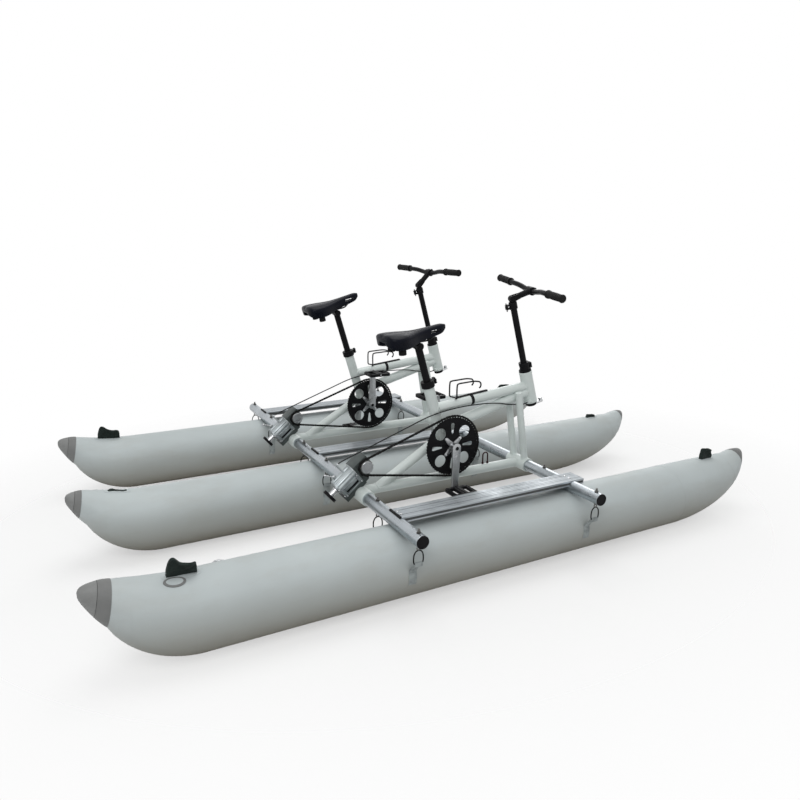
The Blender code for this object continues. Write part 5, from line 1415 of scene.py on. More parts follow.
def chainwheel_mesh():
    """Chainwheel with four ovals and four keyhole slots, flat in XZ about the crank axis."""
    tip = wheel_tip(CHAINWHEEL_TEETH)
    oval = [(0.08 + 0.0265 * x, 0.025 * z) for x, z in circle((0, 0), 1.0, 32)]
    slot = circle((0.0885, 0.0), 0.0095, 14, -90, 90) + circle((0.053, 0.0), 0.0045, 8, 90, 270)
    holes = [circle((0, 0), 0.012, 32)]
    for way in QUARTERS:
        holes += [spun(oval, way), spun(slot, way + 45)]
    disc = plate(toothed_outline(CHAINWHEEL_TEETH, tip, tip - 0.003), WHEEL_THICKNESS - 0.001, 0.0004, holes)
    rim = plate(circle((0, 0), tip - 0.005, 96), WHEEL_THICKNESS, 0.0006, [circle((0, 0), tip - 0.0105, 96)])
    return upright(merged(disc, rim), CHAIN_Y)


def crank_arm(side):
    """One forged crank, with a raised boss, a groove and the pedal's axle."""
    boss, eye = 0.0175, 0.012
    foot = (0, -CRANK_LENGTH)
    lean = math.degrees(math.asin((boss - eye) / CRANK_LENGTH))
    outline = circle((0, 0), boss, 18, lean, 180 - lean) + circle(foot, eye, 18, 180 - lean, 360 + lean)
    groove = circle((0, -0.036), 0.0052, 10, 0, 180) + circle((0, -CRANK_LENGTH + 0.036), 0.004, 10, 180, 360)
    arm = plate(outline, CRANK_THICKNESS - 0.002, 0.0022)
    ridge = plate(circle((0, 0), 0.009, 40), CRANK_THICKNESS + 0.001, 0.001)
    inlay = plate(groove, CRANK_THICKNESS - 0.0012, 0.0006)
    start = side * (CRANK_OFFSET - 0.004)
    end = side * (CRANK_OFFSET + CRANK_THICKNESS / 2 + PEDAL_WIDTH + 0.001)
    axle = cross_bar(start, end, 0.0045, 0.0006, 24, z=-CRANK_LENGTH)
    flats = cross_bar(side * (CRANK_OFFSET + 0.0055), side * (CRANK_OFFSET + 0.0064), 0.0085, 0.0, 6,
                      z=-CRANK_LENGTH)
    return merged(upright(merged(arm, ridge, inlay), side * CRANK_OFFSET), axle, flats)


def crank_caps():
    """Black caps over the cranks' bolts, at both ends of the spindle."""
    reach = CRANK_OFFSET + CRANK_THICKNESS / 2 + 0.0014
    return merged(*[cross_bar(side * CRANK_OFFSET, side * reach, 0.0075, 0.0008, 24) for side in (-1, 1)])


def crankset_mesh():
    """Right crank with its four-arm spider, spindle and left crank, about the crank axis."""
    spider_y = CHAIN_Y - WHEEL_THICKNESS / 2 - FIT
    star = []
    for way in QUARTERS:
        star += spun([(BOLT_CIRCLE, -0.0062), (0.0505, -0.0046), (0.0522, 0.0), (0.0505, 0.0046),
                      (BOLT_CIRCLE, 0.0062)], way)
        star += spun([(0.015, -0.0008), (0.0142, 0.0), (0.015, 0.0008)], way + 45)
    spider = upright(plate(star, 0.0048, 0.001), spider_y - 0.0027)
    boss = upright(lathe([(0.0, 0.0), (0.017, 0.0), (0.017, 0.004), (0.0145, 0.01), (0.015, 0.029),
                          (0.0, 0.029)]), spider_y)
    spindle = cross_bar(-CRANK_OFFSET, CRANK_OFFSET, 0.0085, 0.0, 32)
    return merged(spindle, spider, boss, crank_arm(-1), moved(crank_arm(1), turn(180, "Y")))


def spider_bolts():
    """Places of the four chainwheel bolts about the crank axis, heads outwards."""
    spots = circle((0, 0), BOLT_CIRCLE, 4, 45, 405)
    return [shift(x, CHAIN_Y - 0.0075, z) @ turn(90, "X") for x, z in spots]


def socket_bolt(radius=0.0045, height=0.0035):
    """Cap screw with a hexagon socket."""
    hollow = radius * 0.48
    profile = [(0.0, height * 0.35), (hollow, height * 0.35), (hollow, height), (radius - 0.0004, height),
               (radius, height - 0.0004), (radius, -0.0008), (0.0, -0.0008)]
    return lathe(profile, 24)


def chain_path(extra):
    """The closed pitch line of a chain round both wheels, in XZ."""
    big, small = wheel_tip(CHAINWHEEL_TEETH) + extra, wheel_tip(SPROCKET_TEETH) + extra
    centre = SHAFT_PLACE.translation
    small_at, big_at = Vector((centre.x, centre.z)), Vector(CRANK_AXIS)
    between = big_at - small_at
    heading = math.degrees(math.atan2(between.y, between.x))
    lean = math.degrees(math.acos((big - small) / between.length))
    front = circle(big_at, big, 64, heading + 180 - lean, heading - 180 + lean)
    rear = circle(small_at, small, 24, heading - 180 + lean, heading - 180 - lean)
    return [Vector((x, CHAIN_Y, z)) for x, z in front + rear]


def chain_link():
    """Two pitches of roller chain, its length along X and its pins along Y."""
    parts = []
    for first, out in ((0.0, 0.0016), (-CHAIN_PITCH, 0.0026)):
        last = first + CHAIN_PITCH
        middle = first + CHAIN_PITCH / 2
        outline = [*circle((first, 0.0), 0.0042, 9, 90, 270), (middle, -0.0033),
                   *circle((last, 0.0), 0.0042, 9, -90, 90), (middle, 0.0033)]
        parts += [upright(plate(outline, 0.0009, 0.0002), y) for y in (-out, out)]
        parts.append(cross_bar(-0.003, 0.003, 0.0016, 0.0, 10, first))
    return merged(*parts)


class WATERBIKE_OT_chains(bpy.types.Operator):
    """Build the chains from repeated links along their pitch line"""

    bl_idname = "water_bike.chains"
    bl_label = "Chains"

    def execute(self, context):
        path = chain_path(CHAIN_RISE)
        length = sum((path[index] - path[index - 1]).length for index in range(len(path)))
        count = round(length / CHAIN_PITCH / 2)
        links = along_path(chain_link(), path, count, (0.0, 1.0, 0.0), "chain", closed=True)
        for bike in BIKES:
            own_piece(bike, "roller_chain", links, shift(y=BIKE_Y[bike]), "chain",
                      node="drive_chain")
        return {"FINISHED"}


def pedal_mesh(side):
    """Cage pedal about its axle: rounded frame with windows, barrel and tread teeth."""
    half = PEDAL_LENGTH / 2
    near = side * (CRANK_OFFSET + CRANK_THICKNESS / 2 + 0.0005)
    low_y, high_y = sorted((near, near + side * PEDAL_WIDTH))
    corner = 0.012
    outline = []
    for x, y, first in ((half, high_y, 0), (-half, high_y, 90), (-half, low_y, 180), (half, low_y, 270)):
        centre = (x - math.copysign(corner, x), y - corner if y == high_y else y + corner)
        outline += circle(centre, corner, 6, first, first + 90)
    windows = []
    for way in (-1, 1):
        inner_x, outer_x = way * 0.014, way * (half - 0.011)
        windows.append([(inner_x, low_y + 0.011), (outer_x, low_y + 0.014), (outer_x, high_y - 0.014),
                        (inner_x, high_y - 0.011)])
    solid = plate(outline, PEDAL_THICKNESS - 0.004, 0.0018, windows)
    cage = carved(solid, cross_bar(low_y - 0.01, high_y + 0.01, 0.006, 0.0, 32))
    barrel = pipe((0, low_y, 0), (0, high_y, 0), 0.0088, 0.004, 0.0008, 32)
    tooth = lathe([(0.0, 0.0032), (0.0012, 0.0032), (0.0028, 0.0), (0.0, 0.0)], 4)
    return merged(cage, barrel, at_points(tooth, pedal_teeth(low_y, high_y), "plastic"))


def pedal_teeth(low_y, high_y):
    """Places of the tread teeth along both long edges, above and below."""
    spots = []
    for way in (-1, 1):
        for flip in (0, 180):
            for step in range(9):
                y = low_y + 0.012 + (high_y - low_y - 0.024) * step / 8
                out = shift(way * (PEDAL_LENGTH / 2 - 0.0055), y, PEDAL_THICKNESS / 2 - 0.0022)
                spots.append(turn(flip, "Y") @ out)
    return spots


class WATERBIKE_OT_cranks(bpy.types.Operator):
    """Build chainwheels, cranks and pedals"""

    bl_idname = "water_bike.cranks"
    bl_label = "Cranks and pedals"

    def execute(self, context):
        wheel, cranks, caps = chainwheel_mesh(), crankset_mesh(), crank_caps()
        bolts = at_points(socket_bolt(), spider_bolts(), "bright")
        for bike in BIKES:
            axis = shift(CRANK_AXIS[0], BIKE_Y[bike], CRANK_AXIS[1])
            turned = axis @ turn(CRANK_TURN[bike], "Y")
            own_piece(bike, "chain_ring", wheel, axis, "black", "crank", "chainwheel")
            own_piece(bike, "crank_arms", cranks, turned, "alloy", "crank", "crankset")
            own_piece(bike, "crank_caps", caps, turned, "plastic", "crank")
            own_piece(bike, "chain_ring_bolts", bolts, turned, "bright", "crank")
            for name, side in SIDES.items():
                place = Matrix.Translation(turned @ Vector((0.0, 0.0, side * CRANK_LENGTH)))
                own_piece(bike, name + "_pedal_cage", pedal_mesh(side), place, "plastic",
                          name + "_pedal_body", name + "_pedal")
        return {"FINISHED"}


# Gear drives, drawn about the rear beam with A along the drive and B away from the beam
def housing_details():
    """Raised frame and long bar of the housing's side window, and the shaft's end cap."""
    y = -HOUSING_HALF
    low_b, high_b = HOUSING_FOOT + 0.009, HOUSING_FOOT + 0.033
    rear_a, front_a, edge = -0.0395, 0.0295, 0.0035
    bar_across = block((-0.0345, y + 0.0002, low_b + 0.0105), (0.0245, y + 0.0062, high_b - 0.0035), 0.001)
    sides = ((rear_a, low_b - edge, front_a, low_b), (rear_a, high_b, front_a, high_b + edge),
             (rear_a, low_b - edge, rear_a + edge, high_b + edge),
             (front_a - edge, low_b - edge, front_a, high_b + edge))
    rim = [block((a, y - 0.0016, b), (last_a, y + 0.003, last_b), 0.0008) for a, b, last_a, last_b in sides]
    cap = moved(lathe([(0.0245, 0.0), (0.0245, 0.0032), (0.0225, 0.0045), (0.01, 0.0045), (0.0092, 0.003),
                       (0.0092, 0.0)]), shift(HOUSING_REAR + 0.0002, 0.0, SHAFT_B) @ turn(-90, "Y"))
    return merged(bar_across, *rim, cap)


def housing_window_shade():
    """Near-black plate at the back of the housing's side window, painted shade for the recess."""
    back = -HOUSING_HALF + 0.0056
    return block((-0.0358, back, HOUSING_FOOT + 0.0092), (0.0258, back + 0.001, HOUSING_FOOT + 0.0328))


def housing_bolts():
    """Places of the bolts on the housing's rear end plate and round its side window."""
    spots = []
    for y in (-0.0285, 0.0285):
        for b in (HOUSING_FOOT + 0.006, HOUSING_FOOT + 0.044):
            spots.append(shift(HOUSING_REAR, y, b) @ turn(-90, "Y"))
    for b in (HOUSING_FOOT + 0.004, HOUSING_FOOT + 0.038):
        for a in (-0.044, 0.034):
            spots.append(shift(a, -HOUSING_HALF - 0.0005, b) @ turn(90, "X"))
    return spots


def about_y(profile):
    """A profile of (radius, y) points turned about Y."""
    return moved(lathe(profile[::-1]), turn(-90, "X"))


def sprocket_mesh():
    """Sprocket with its hub and shaft, about Y."""
    tip = wheel_tip(SPROCKET_TEETH)
    wheel = plate(toothed_outline(SPROCKET_TEETH, tip, tip - TOOTH_HEIGHT), WHEEL_THICKNESS - 0.001, 0.0004)
    hub = about_y([(0.0, WHEEL_FACE), (0.007, WHEEL_FACE), (0.007, -0.024), (0.011, -0.024), (0.011, -0.016),
                   (0.0, -0.016)])
    return merged(upright(wheel, CHAIN_Y), hub)


def sprocket_cover():
    """Plain grey disc over the sprocket's outer face, about Y."""
    edge = wheel_tip(SPROCKET_TEETH) - 0.003
    face = WHEEL_FACE
    return about_y([(0.0, face - 0.004), (edge - 0.0062, face - 0.004), (edge - 0.0056, face - 0.005),
                    (edge - 0.001, face - 0.005), (edge, face - 0.004), (edge, face), (0.0, face)])


def bevel_gear(first_tooth, teeth=10):
    """A mitre gear about X with its cone point at x = 0."""
    ring = []
    for tooth in range(teeth):
        for part, radius in ((0.0, 0.0192), (0.5, 0.0158)):
            angle = first_tooth + 2 * math.pi * (tooth + part) / teeth
            ring.append(Vector((-0.018, radius * math.cos(angle), radius * math.sin(angle))))
    return loft([ring, [point * 0.62 for point in ring]])


def coupling_neck():
    """Shaft and stepped neck of the gear output, about X with the shafts crossing at x = 0."""
    wall = HOUSING_REAR - SHAFT_A - 0.0005
    inner = DISC_A - SHAFT_A + 0.012
    profile = [(0.0, -0.016), (0.011, -0.016), (0.011, -0.024), (0.008, -0.024), (0.008, wall),
               (0.0128, wall), (0.0135, wall - 0.001), (0.0135, wall - 0.01), (0.0108, wall - 0.012),
               (0.0108, inner + 0.006), (0.0135, inner + 0.004), (0.0135, inner - 0.002),
               (0.0, inner - 0.002)]
    return moved(lathe(profile), turn(90, "Y"))


def coupling_disc():
    """Black coupling disc with a grooved rim, about X."""
    start = DISC_A - SHAFT_A
    profile = [(0.0, start + 0.012), (0.028, start + 0.012), (0.0298, start + 0.0105),
               (0.03, start + 0.0085), (0.0284, start + 0.0075), (0.0284, start + 0.005),
               (0.03, start + 0.004), (0.03, start + 0.0015), (0.0285, start), (0.012, start),
               (0.0105, start + 0.002), (0.0, start + 0.002)]
    return moved(lathe(profile), turn(90, "Y"))


def drive_lever_mesh():
    """Short forked lever on the housing's top, about its pivot."""
    boss = pipe((0, -0.0036, 0), (0, 0.0036, 0), 0.007, 0.0036, 0.0006, 32)
    arm = wire(smooth_path([(-0.003, 0, 0.0055), (-0.009, 0, 0.015), (-0.015, 0, 0.025),
                            (-0.0205, 0, 0.0335)]), 0.0024, 14, up=(0, 1, 0))
    knob = cross_bar(-0.005, 0.005, 0.0042, 0.0008, 28, -0.0205, 0.0335)
    return merged(boss, arm, knob)


class WATERBIKE_OT_drives(bpy.types.Operator):
    """Build the gear drives behind each bike"""

    bl_idname = "water_bike.drives"
    bl_label = "Gear drives"

    def execute(self, context):
        sprocket = merged(sprocket_mesh(), moved(bevel_gear(math.pi / 10), turn(90, "Z")))
        neck = merged(coupling_neck(), bevel_gear(math.pi))
        bolts = at_points(socket_bolt(0.0036, 0.003), housing_bolts(), "bright")
        for bike in BIKES:
            side = shift(y=BIKE_Y[bike])
            place = side @ DRIVE_PLACE
            shaft = side @ SHAFT_PLACE
            housing = merged(copy_of_node("gear_housing_" + bike, 0.0008), moved(housing_details(), place))
            casting = copy_of_node("drive_bracket_" + bike, 0.0014, 3)
            own_piece(bike, "drive_housing", housing, shift(), "cast", node="gear_housing")
            own_piece(bike, "drive_bolts", bolts, place, "bright")
            # Painted shade: a near-black plate darkens the back of the side window's recess
            own_piece(bike, "drive_window", housing_window_shade(), place, "plastic")
            own_piece(bike, "drive_casting", casting, shift(), "dark_cast",
                      node="drive_bracket")
            own_piece(bike, "drive_sprocket", sprocket, shaft, "dark_steel", "input",
                      "input_shaft")
            own_piece(bike, "sprocket_cover", sprocket_cover(), shaft, "alloy", "input",
                      smooth_angle=20)
            own_piece(bike, "output_neck", neck, shaft, "bright", "output", "output_shaft")
            own_piece(bike, "output_disc", coupling_disc(), shaft, "plastic", "output")
            pivot = place @ shift(LEVER_A, 0.0, HOUSING_TOP + 0.008)
            own_piece(bike, "cable_lever", drive_lever_mesh(), pivot, "bright",
                      "drive_lever_body", "drive_lever")
        return {"FINISHED"}


class WATERBIKE_OT_cables(bpy.types.Operator):
    """Build the steering cables with their end ferrules"""

    bl_idname = "water_bike.cables"
    bl_label = "Steering cables"

    def execute(self, context):
        radius = context.scene.water_bike_sizes.cable_radius
        x, y, z = CABLE_STOP
        start = DRIVE_PLACE @ Vector((0.012 + FIT, 0.0, HOUSING_TOP + 0.036))
        lead_in = HEAD_PLACE @ Vector((x - 0.01, y, z))
        end = HEAD_PLACE @ Vector((x - 2 * FIT, y, z))
        path = smooth_path([start, *CABLE_BENDS, lead_in, end], 6)
        cover = wire(path, radius, 14)
        ferrules = merged(bar(path[0], path[2], radius + 0.0012, 0.0006, 24),
                          bar(path[-4], path[-1], radius + 0.001, 0.0006, 24))
        for bike in BIKES:
            side = shift(y=BIKE_Y[bike])
            cable = own_piece(bike, "cable_cover", cover, side, "cable", node="steering_cable")
            own_piece(bike, "cable_ferrules", ferrules, side, "bright")
        return {"FINISHED"}


# Steering, drawn about the head tube's axis
def steerer_mesh():
    """The steerer with its headset cups and clamp collar, and its steering arm with the cable anchor."""
    inside = MAST_RADIUS + FIT
    low = HEAD_HIGH + 2 * FIT
    high = low + COLLAR_HEIGHT
    foot_top = HEAD_LOW - 2 * FIT
    foot_low = foot_top - 0.014
    waist = COLLAR_RADIUS - 0.0012
    profile = [(0.0, MAST_FOOT - 0.004), (inside, MAST_FOOT - 0.004), (inside, high),
               (COLLAR_RADIUS - 0.001, high), (COLLAR_RADIUS, high - 0.001), (COLLAR_RADIUS, high - 0.014),
               (waist, high - 0.0152), (waist, low + 0.0085), (COLLAR_RADIUS + 0.004, low + 0.007),
               (COLLAR_RADIUS + 0.0045, low), (STEERER_RADIUS, low), (STEERER_RADIUS, foot_top),
               (0.0235, foot_top), (0.024, foot_top - 0.003), (0.0235, foot_low + 0.001), (0.0222, foot_low),
               (0.0, foot_low)]
    arm_outline = circle((0.0, 0.0), 0.014, 14, 80, 280) + circle((ARM_LENGTH, 0.0), 0.0095, 14, -90, 90)
    arm = moved(plate(arm_outline, 0.0075, 0.001), shift(z=foot_low + 0.004))
    anchor = bar((ARM_LENGTH, 0, foot_low), (ARM_LENGTH, 0, foot_low + 0.02), 0.0085, 0.001, 32)
    clamp = block((0.02, -0.01, low + 0.01), (0.032, 0.01, low + 0.034), 0.0016)
    bolts = [cross_bar(-0.0118, 0.0118, 0.0028, 0.0004, 20, 0.027, low + height) for height in (0.016, 0.028)]
    return merged(lathe(profile), clamp, *bolts), merged(arm, anchor)


def mast_mesh():
    """Mast with its folding clamp, ears and pivot eye."""
    tube = bar((0, 0, MAST_FOOT), (0, 0, MAST_TOP - 0.001), MAST_RADIUS)
    clamp = bar((0, 0, MAST_TOP - 0.03), (0, 0, MAST_TOP), 0.0175, 0.0012)
    ears = [block((-0.034, -0.008, MAST_TOP + low), (-0.01, 0.008, MAST_TOP + low + 0.006), 0.0008)
            for low in (-0.026, -0.012)]
    eye = [(-0.011, MAST_TOP - 0.005), (0.011, MAST_TOP - 0.005),
           *circle((0.0, PIVOT_HEIGHT), 0.012, 20, 0, 180)]
    pin = cross_bar(-0.015, 0.015, 0.0035, 0.0006, 20, z=PIVOT_HEIGHT)
    heads = [cross_bar(side * 0.0128, side * 0.0156, 0.0058, 0.0006, 24, z=PIVOT_HEIGHT) for side in (-1, 1)]
    lever_pin = bar((MAST_LEVER_X, 0.0, MAST_TOP - 0.034), (MAST_LEVER_X, 0.0, MAST_TOP + 0.002), 0.0025,
                    0.0004, 16)
    return merged(tube, clamp, *ears, upright(plate(eye, 0.012, 0.0008)), pin, *heads, lever_pin)


def stem_mesh():
    """Stem about its pivot: cheeks round the tongue, a tapered arm and the bar clamp."""
    cheek = circle((0.0, 0.0), 0.0125, 18, 75, 285) + circle((0.03, 0.0), 0.01, 8, -80, 80)
    arm = bar((0.022, 0, 0), (STEM_LENGTH - 0.008, 0, 0), 0.0122, 0.003, 40, 0.0135)
    parts = [arm, pipe((STEM_LENGTH, -0.022, 0), (STEM_LENGTH, 0.022, 0), 0.0175, 0.0062, 0.0014)]
    bolt_x = STEM_LENGTH + 0.0145
    for side in (-1, 1):
        y = side * 0.013
        parts.append(upright(plate(cheek, 0.006, 0.0008), side * 0.0094))
        parts += [block((STEM_LENGTH + 0.004, y - 0.0055, low),
                        (STEM_LENGTH + 0.02, y + 0.0055, low + 0.006), 0.001) for low in (-0.0075, 0.0015)]
        parts.append(bar((bolt_x, y, -0.01), (bolt_x, y, 0.0098), 0.003, 0.0004, 20))
    return merged(*parts)


def bar_points():
    """Bends of the handlebar, about its clamp."""
    half = [(0.0, 0.0, 0.0), (0.0, 0.03, 0.0), (0.001, 0.065, 0.004), (-0.003, 0.11, 0.012),
            (-0.007, 0.165, 0.0155), (-0.007, BAR_HALF_WIDTH, 0.017)]
    return [(x, -y, z) for x, y, z in reversed(half[1:])] + half


def grip_mesh():
    """The starboard grip: ribbed rubber with an inner flange and a bulged end."""
    profile = [(0.0, 0.004), (GRIP_RADIUS - 0.004, 0.004), (GRIP_RADIUS - 0.001, 0.0028),
               (GRIP_RADIUS + 0.0015, -0.001)]
    place = -0.004
    while place > -GRIP_LENGTH + 0.016:
        share = -place / GRIP_LENGTH
        swell = 0.0012 * math.sin(math.pi * share) + 0.0012 * max(0.0, 1 - share * 8)
        radius = GRIP_RADIUS - 0.0016 + swell
        profile += [(radius, place), (radius + 0.0007, place - 0.0011), (radius + 0.0007, place - 0.0027),
                    (radius, place - 0.0038)]
        place -= 0.0044
    inside = BAR_RADIUS + FIT
    foot = -GRIP_LENGTH
    profile += [(GRIP_RADIUS - 0.001, foot + 0.012), (GRIP_RADIUS + 0.002, foot + 0.008),
                (GRIP_RADIUS + 0.002, foot + 0.001), (GRIP_RADIUS + 0.001, foot), (inside, foot),
                (inside, 2 * FIT), (0.0, 2 * FIT)]
    end, inner = Vector(bar_points()[0]), Vector(bar_points()[1])
    aim = (end - inner).to_track_quat("Z", "Y").to_matrix().to_4x4()
    return moved(lathe(profile, 36), Matrix.Translation(end) @ aim)


def lever_mesh(length):
    """A quick-release lever that swings about Z, curved and rounded."""
    ring = pipe((0, 0, -0.0036), (0, 0, 0.0036), 0.0065, 0.0036, 0.0006, 28)
    outline = [(0.004, -0.004), (0.014, -0.0065), (length * 0.6, -0.0085), (length * 0.9, -0.0075),
               (length, -0.0045), (length, 0.001), (length * 0.9, 0.0005), (length * 0.6, -0.003),
               (0.014, 0.0), (0.004, 0.004)]
    return merged(ring, plate(outline, 0.0068, 0.0014))


class WATERBIKE_OT_steering(bpy.types.Operator):
    """Build steerers, masts, stems, handlebars, grips and stem levers"""

    bl_idname = "water_bike.steering"
    bl_label = "Steering"

    def execute(self, context):
        collar, arm = steerer_mesh()
        handlebar = wire(smooth_path(bar_points(), 8), BAR_RADIUS, 32)
        grips = {"right": grip_mesh(), "left": moved(grip_mesh(), Matrix.Diagonal((1.0, -1.0, 1.0, 1.0)))}
        for bike in BIKES:
            axis = shift(y=BIKE_Y[bike]) @ HEAD_PLACE @ turn(STEER_TURN[bike], "Z")
            pivot = axis @ shift(z=PIVOT_HEIGHT) @ turn(-STEM_RISE[bike], "Y")
            clamp = pivot @ shift(x=STEM_LENGTH) @ turn(STEM_RISE[bike], "Y")
            cam = axis @ shift(MAST_LEVER_X, 0.0, MAST_TOP - 0.016) @ turn(70, "Z")
            own_piece(bike, "steerer_collar", collar, axis, "black", "steering_body",
                      "steerer")
            own_piece(bike, "steering_arm", arm, axis, "bright", "steering_body")
            own_piece(bike, "mast_tube", mast_mesh(), axis, "black", "mast_body", "mast")
            own_piece(bike, "stem_arm", stem_mesh(), pivot, "black", "stem_body", "stem")
            own_piece(bike, "bar_tube", handlebar, clamp, "black", "stem_body", "handlebar")
            for side, grip in grips.items():
                own_piece(bike, side + "_hand_grip", grip, clamp, "rubber", "stem_body",
                          side + "_grip")
            own_piece(bike, "fold_lever", lever_mesh(FOLD_LEVER), cam, "black_gloss",
                      "stem_lever_body", "stem_lever")
        return {"FINISHED"}


# Seats, drawn about the tilt axis at the post's top
# Shares of the saddle's length and half width, then its top and its low edge there
SADDLE_STATIONS = [(0.0, 0.55, 0.06, 0.041), (0.035, 0.86, 0.07, 0.029), (0.12, 1.0, 0.071, 0.021),
                   (0.25, 0.93, 0.069, 0.018), (0.38, 0.72, 0.066, 0.02), (0.5, 0.5, 0.065, 0.026),
                   (0.64, 0.33, 0.067, 0.03), (0.8, 0.25, 0.07, 0.034), (0.93, 0.21, 0.072, 0.041),
                   (1.0, 0.11, 0.068, 0.053)]


def saddle_ring(x, half, top, low):
    """One section of the padded cover: crowned with a shallow middle channel, drawn in at the sides."""
    points = []
    for step in range(25):
        angle = math.pi * step / 24
        across = math.cos(angle)
        drop = 0.45 * (top - low) * (1 - math.sin(angle)) ** 1.2
        channel = 0.0022 * math.exp(-(across / 0.2) ** 2) * min(1.0, half / 0.05)
        points.append((x, half * across, top - drop - channel))
    roof = max(low + 0.002, top - 0.024)
    low -= 0.01 * min(1.0, half / 0.04)
    below = [(0.975, low + 0.42 * (top - low)), (0.94, low + 0.28 * (top - low)),
             (0.89, low + 0.08 * (top - low)), (0.82, low), (0.7, low + 0.001),
             (0.62, low + 0.3 * (roof - low)), (0.5, roof), (0.2, roof)]
    points += [(x, -half * share, z) for share, z in below]
    points += [(x, half * share, z) for share, z in reversed(below)]
    return [Vector(point) for point in points]


def saddle_cover():
    """Padded cover of the saddle, lofted through smooth stations."""
    back = -SADDLE_LENGTH * SADDLE_BACK
    wide = SADDLE_WIDTH / 2
    line = smooth_path([(a, b, c) for a, b, c, _ in SADDLE_STATIONS], 5)
    lows = smooth_path([(a, d, 0.0) for a, _, _, d in SADDLE_STATIONS], 5)
    rings = []
    for upper, lower in zip(line, lows):
        share = min(1.0, max(0.0, upper.x))
        rings.append(saddle_ring(back + SADDLE_LENGTH * share, wide * min(1.0, upper.y), min(0.072, upper.z),
                                 lower.y))
    shell = loft(rings)
    slot_x = back + SADDLE_LENGTH * 0.8
    return carved(shell, block((slot_x - 0.018, -0.05, 0.0445), (slot_x + 0.03, 0.05, 0.0545), 0.002))


def saddle_rails():
    """Steel rails below the saddle."""
    rails = []
    for side in (-1, 1):
        points = [(0.088, side * 0.008, 0.045), (0.074, side * 0.009, RAIL_Z + 0.02),
                  (0.058, side * 0.0115, RAIL_Z + 0.007), (0.038, side * 0.016, RAIL_Z),
                  (0.0, side * 0.016, RAIL_Z), (-0.04, side * 0.016, RAIL_Z),
                  (-0.07, side * 0.029, RAIL_Z - 0.003), (-0.094, side * 0.044, RAIL_Z + 0.006)]
        rails.append(wire(smooth_path(points, 5), 0.0034, 14))
    return merged(*rails)


def saddle_bumpers():
    """Two ribbed rubber bumpers under the saddle's rear."""
    profile = [(0.0, -0.012), (0.0135, -0.012)]
    height = -0.0105
    while height < 0.036:
        profile += [(0.0152, height), (0.0152, height + 0.003), (0.0138, height + 0.0042)]
        height += 0.0054
    profile += [(0.011, 0.05), (0.0, 0.05)]
    bumper = lathe(profile, 32)
    return merged(*[moved(bumper, shift(BUMPER_PLACE[0], side * BUMPER_PLACE[1])) for side in (-1, 1)])


def post_mesh():
    """Seat post, and its round clamp head with two bolts."""
    tube = bar((0, 0, -POST_LENGTH), (0, 0, -0.002), POST_RADIUS, 0.001)
    ends = [cross_bar(side * 0.0225, side * 0.025, 0.008, 0.0008, 6) for side in (-1, 1)]
    return merged(tube, cross_bar(-0.023, 0.023, 0.0148, 0.0015), *ends)


def seat_collar_mesh():
    """Clamp collar round the seat tube's top, with its ears and pin."""
    low, high = -0.022, 0.004
    inner, lip = SEAT_TUBE_RADIUS + FIT, POST_RADIUS + FIT
    profile = [(0.0263, high), (0.0275, high - 0.0012), (0.0275, low + 0.0012), (0.0263, low), (inner, low),
               (inner, 2 * FIT), (lip, 2 * FIT), (lip, high)]
    ears = [block((0.0255, -0.008, start), (0.04, 0.008, start + 0.0045), 0.0006)
            for start in (-0.018, -0.0045)]
    pin = bar((SEAT_LEVER_X, 0, low + 0.001), (SEAT_LEVER_X, 0, high + 0.001), 0.0025, 0.0003, 16)
    return merged(lathe(profile), *ears, pin)


class WATERBIKE_OT_seats(bpy.types.Operator):
    """Build collars, levers, posts and padded saddles"""

    bl_idname = "water_bike.seats"
    bl_label = "Seats"

    def execute(self, context):
        cover, rails, bumpers = saddle_cover(), saddle_rails(), saddle_bumpers()
        for bike in BIKES:
            axis = shift(y=BIKE_Y[bike]) @ SEAT_PLACE
            top = axis @ shift(z=POST_OUT[bike])
            level = Matrix.Translation(top.translation) @ turn(-SADDLE_TILT[bike], "Y")
            cam = axis @ shift(SEAT_LEVER_X, 0.0, -0.009) @ turn(75, "Z")
            own_piece(bike, "seat_clamp", seat_collar_mesh(), axis, "black",
                      node="seat_collar")
            own_piece(bike, "seat_quick_lever", lever_mesh(SEAT_LEVER), cam, "black_gloss",
                      "seat_lever_body", "seat_lever")
            own_piece(bike, "post_tube", post_mesh(), top, "black", "seat_post_body",
                      "seat_post")
            padded = own_piece(bike, "saddle_pad", cover, level, "saddle", "saddle_body",
                               "saddle")
            own_piece(bike, "saddle_rails", rails, level, "black", "saddle_body")
            own_piece(bike, "saddle_bumpers", bumpers, level, "rubber", "saddle_body")
        return {"FINISHED"}


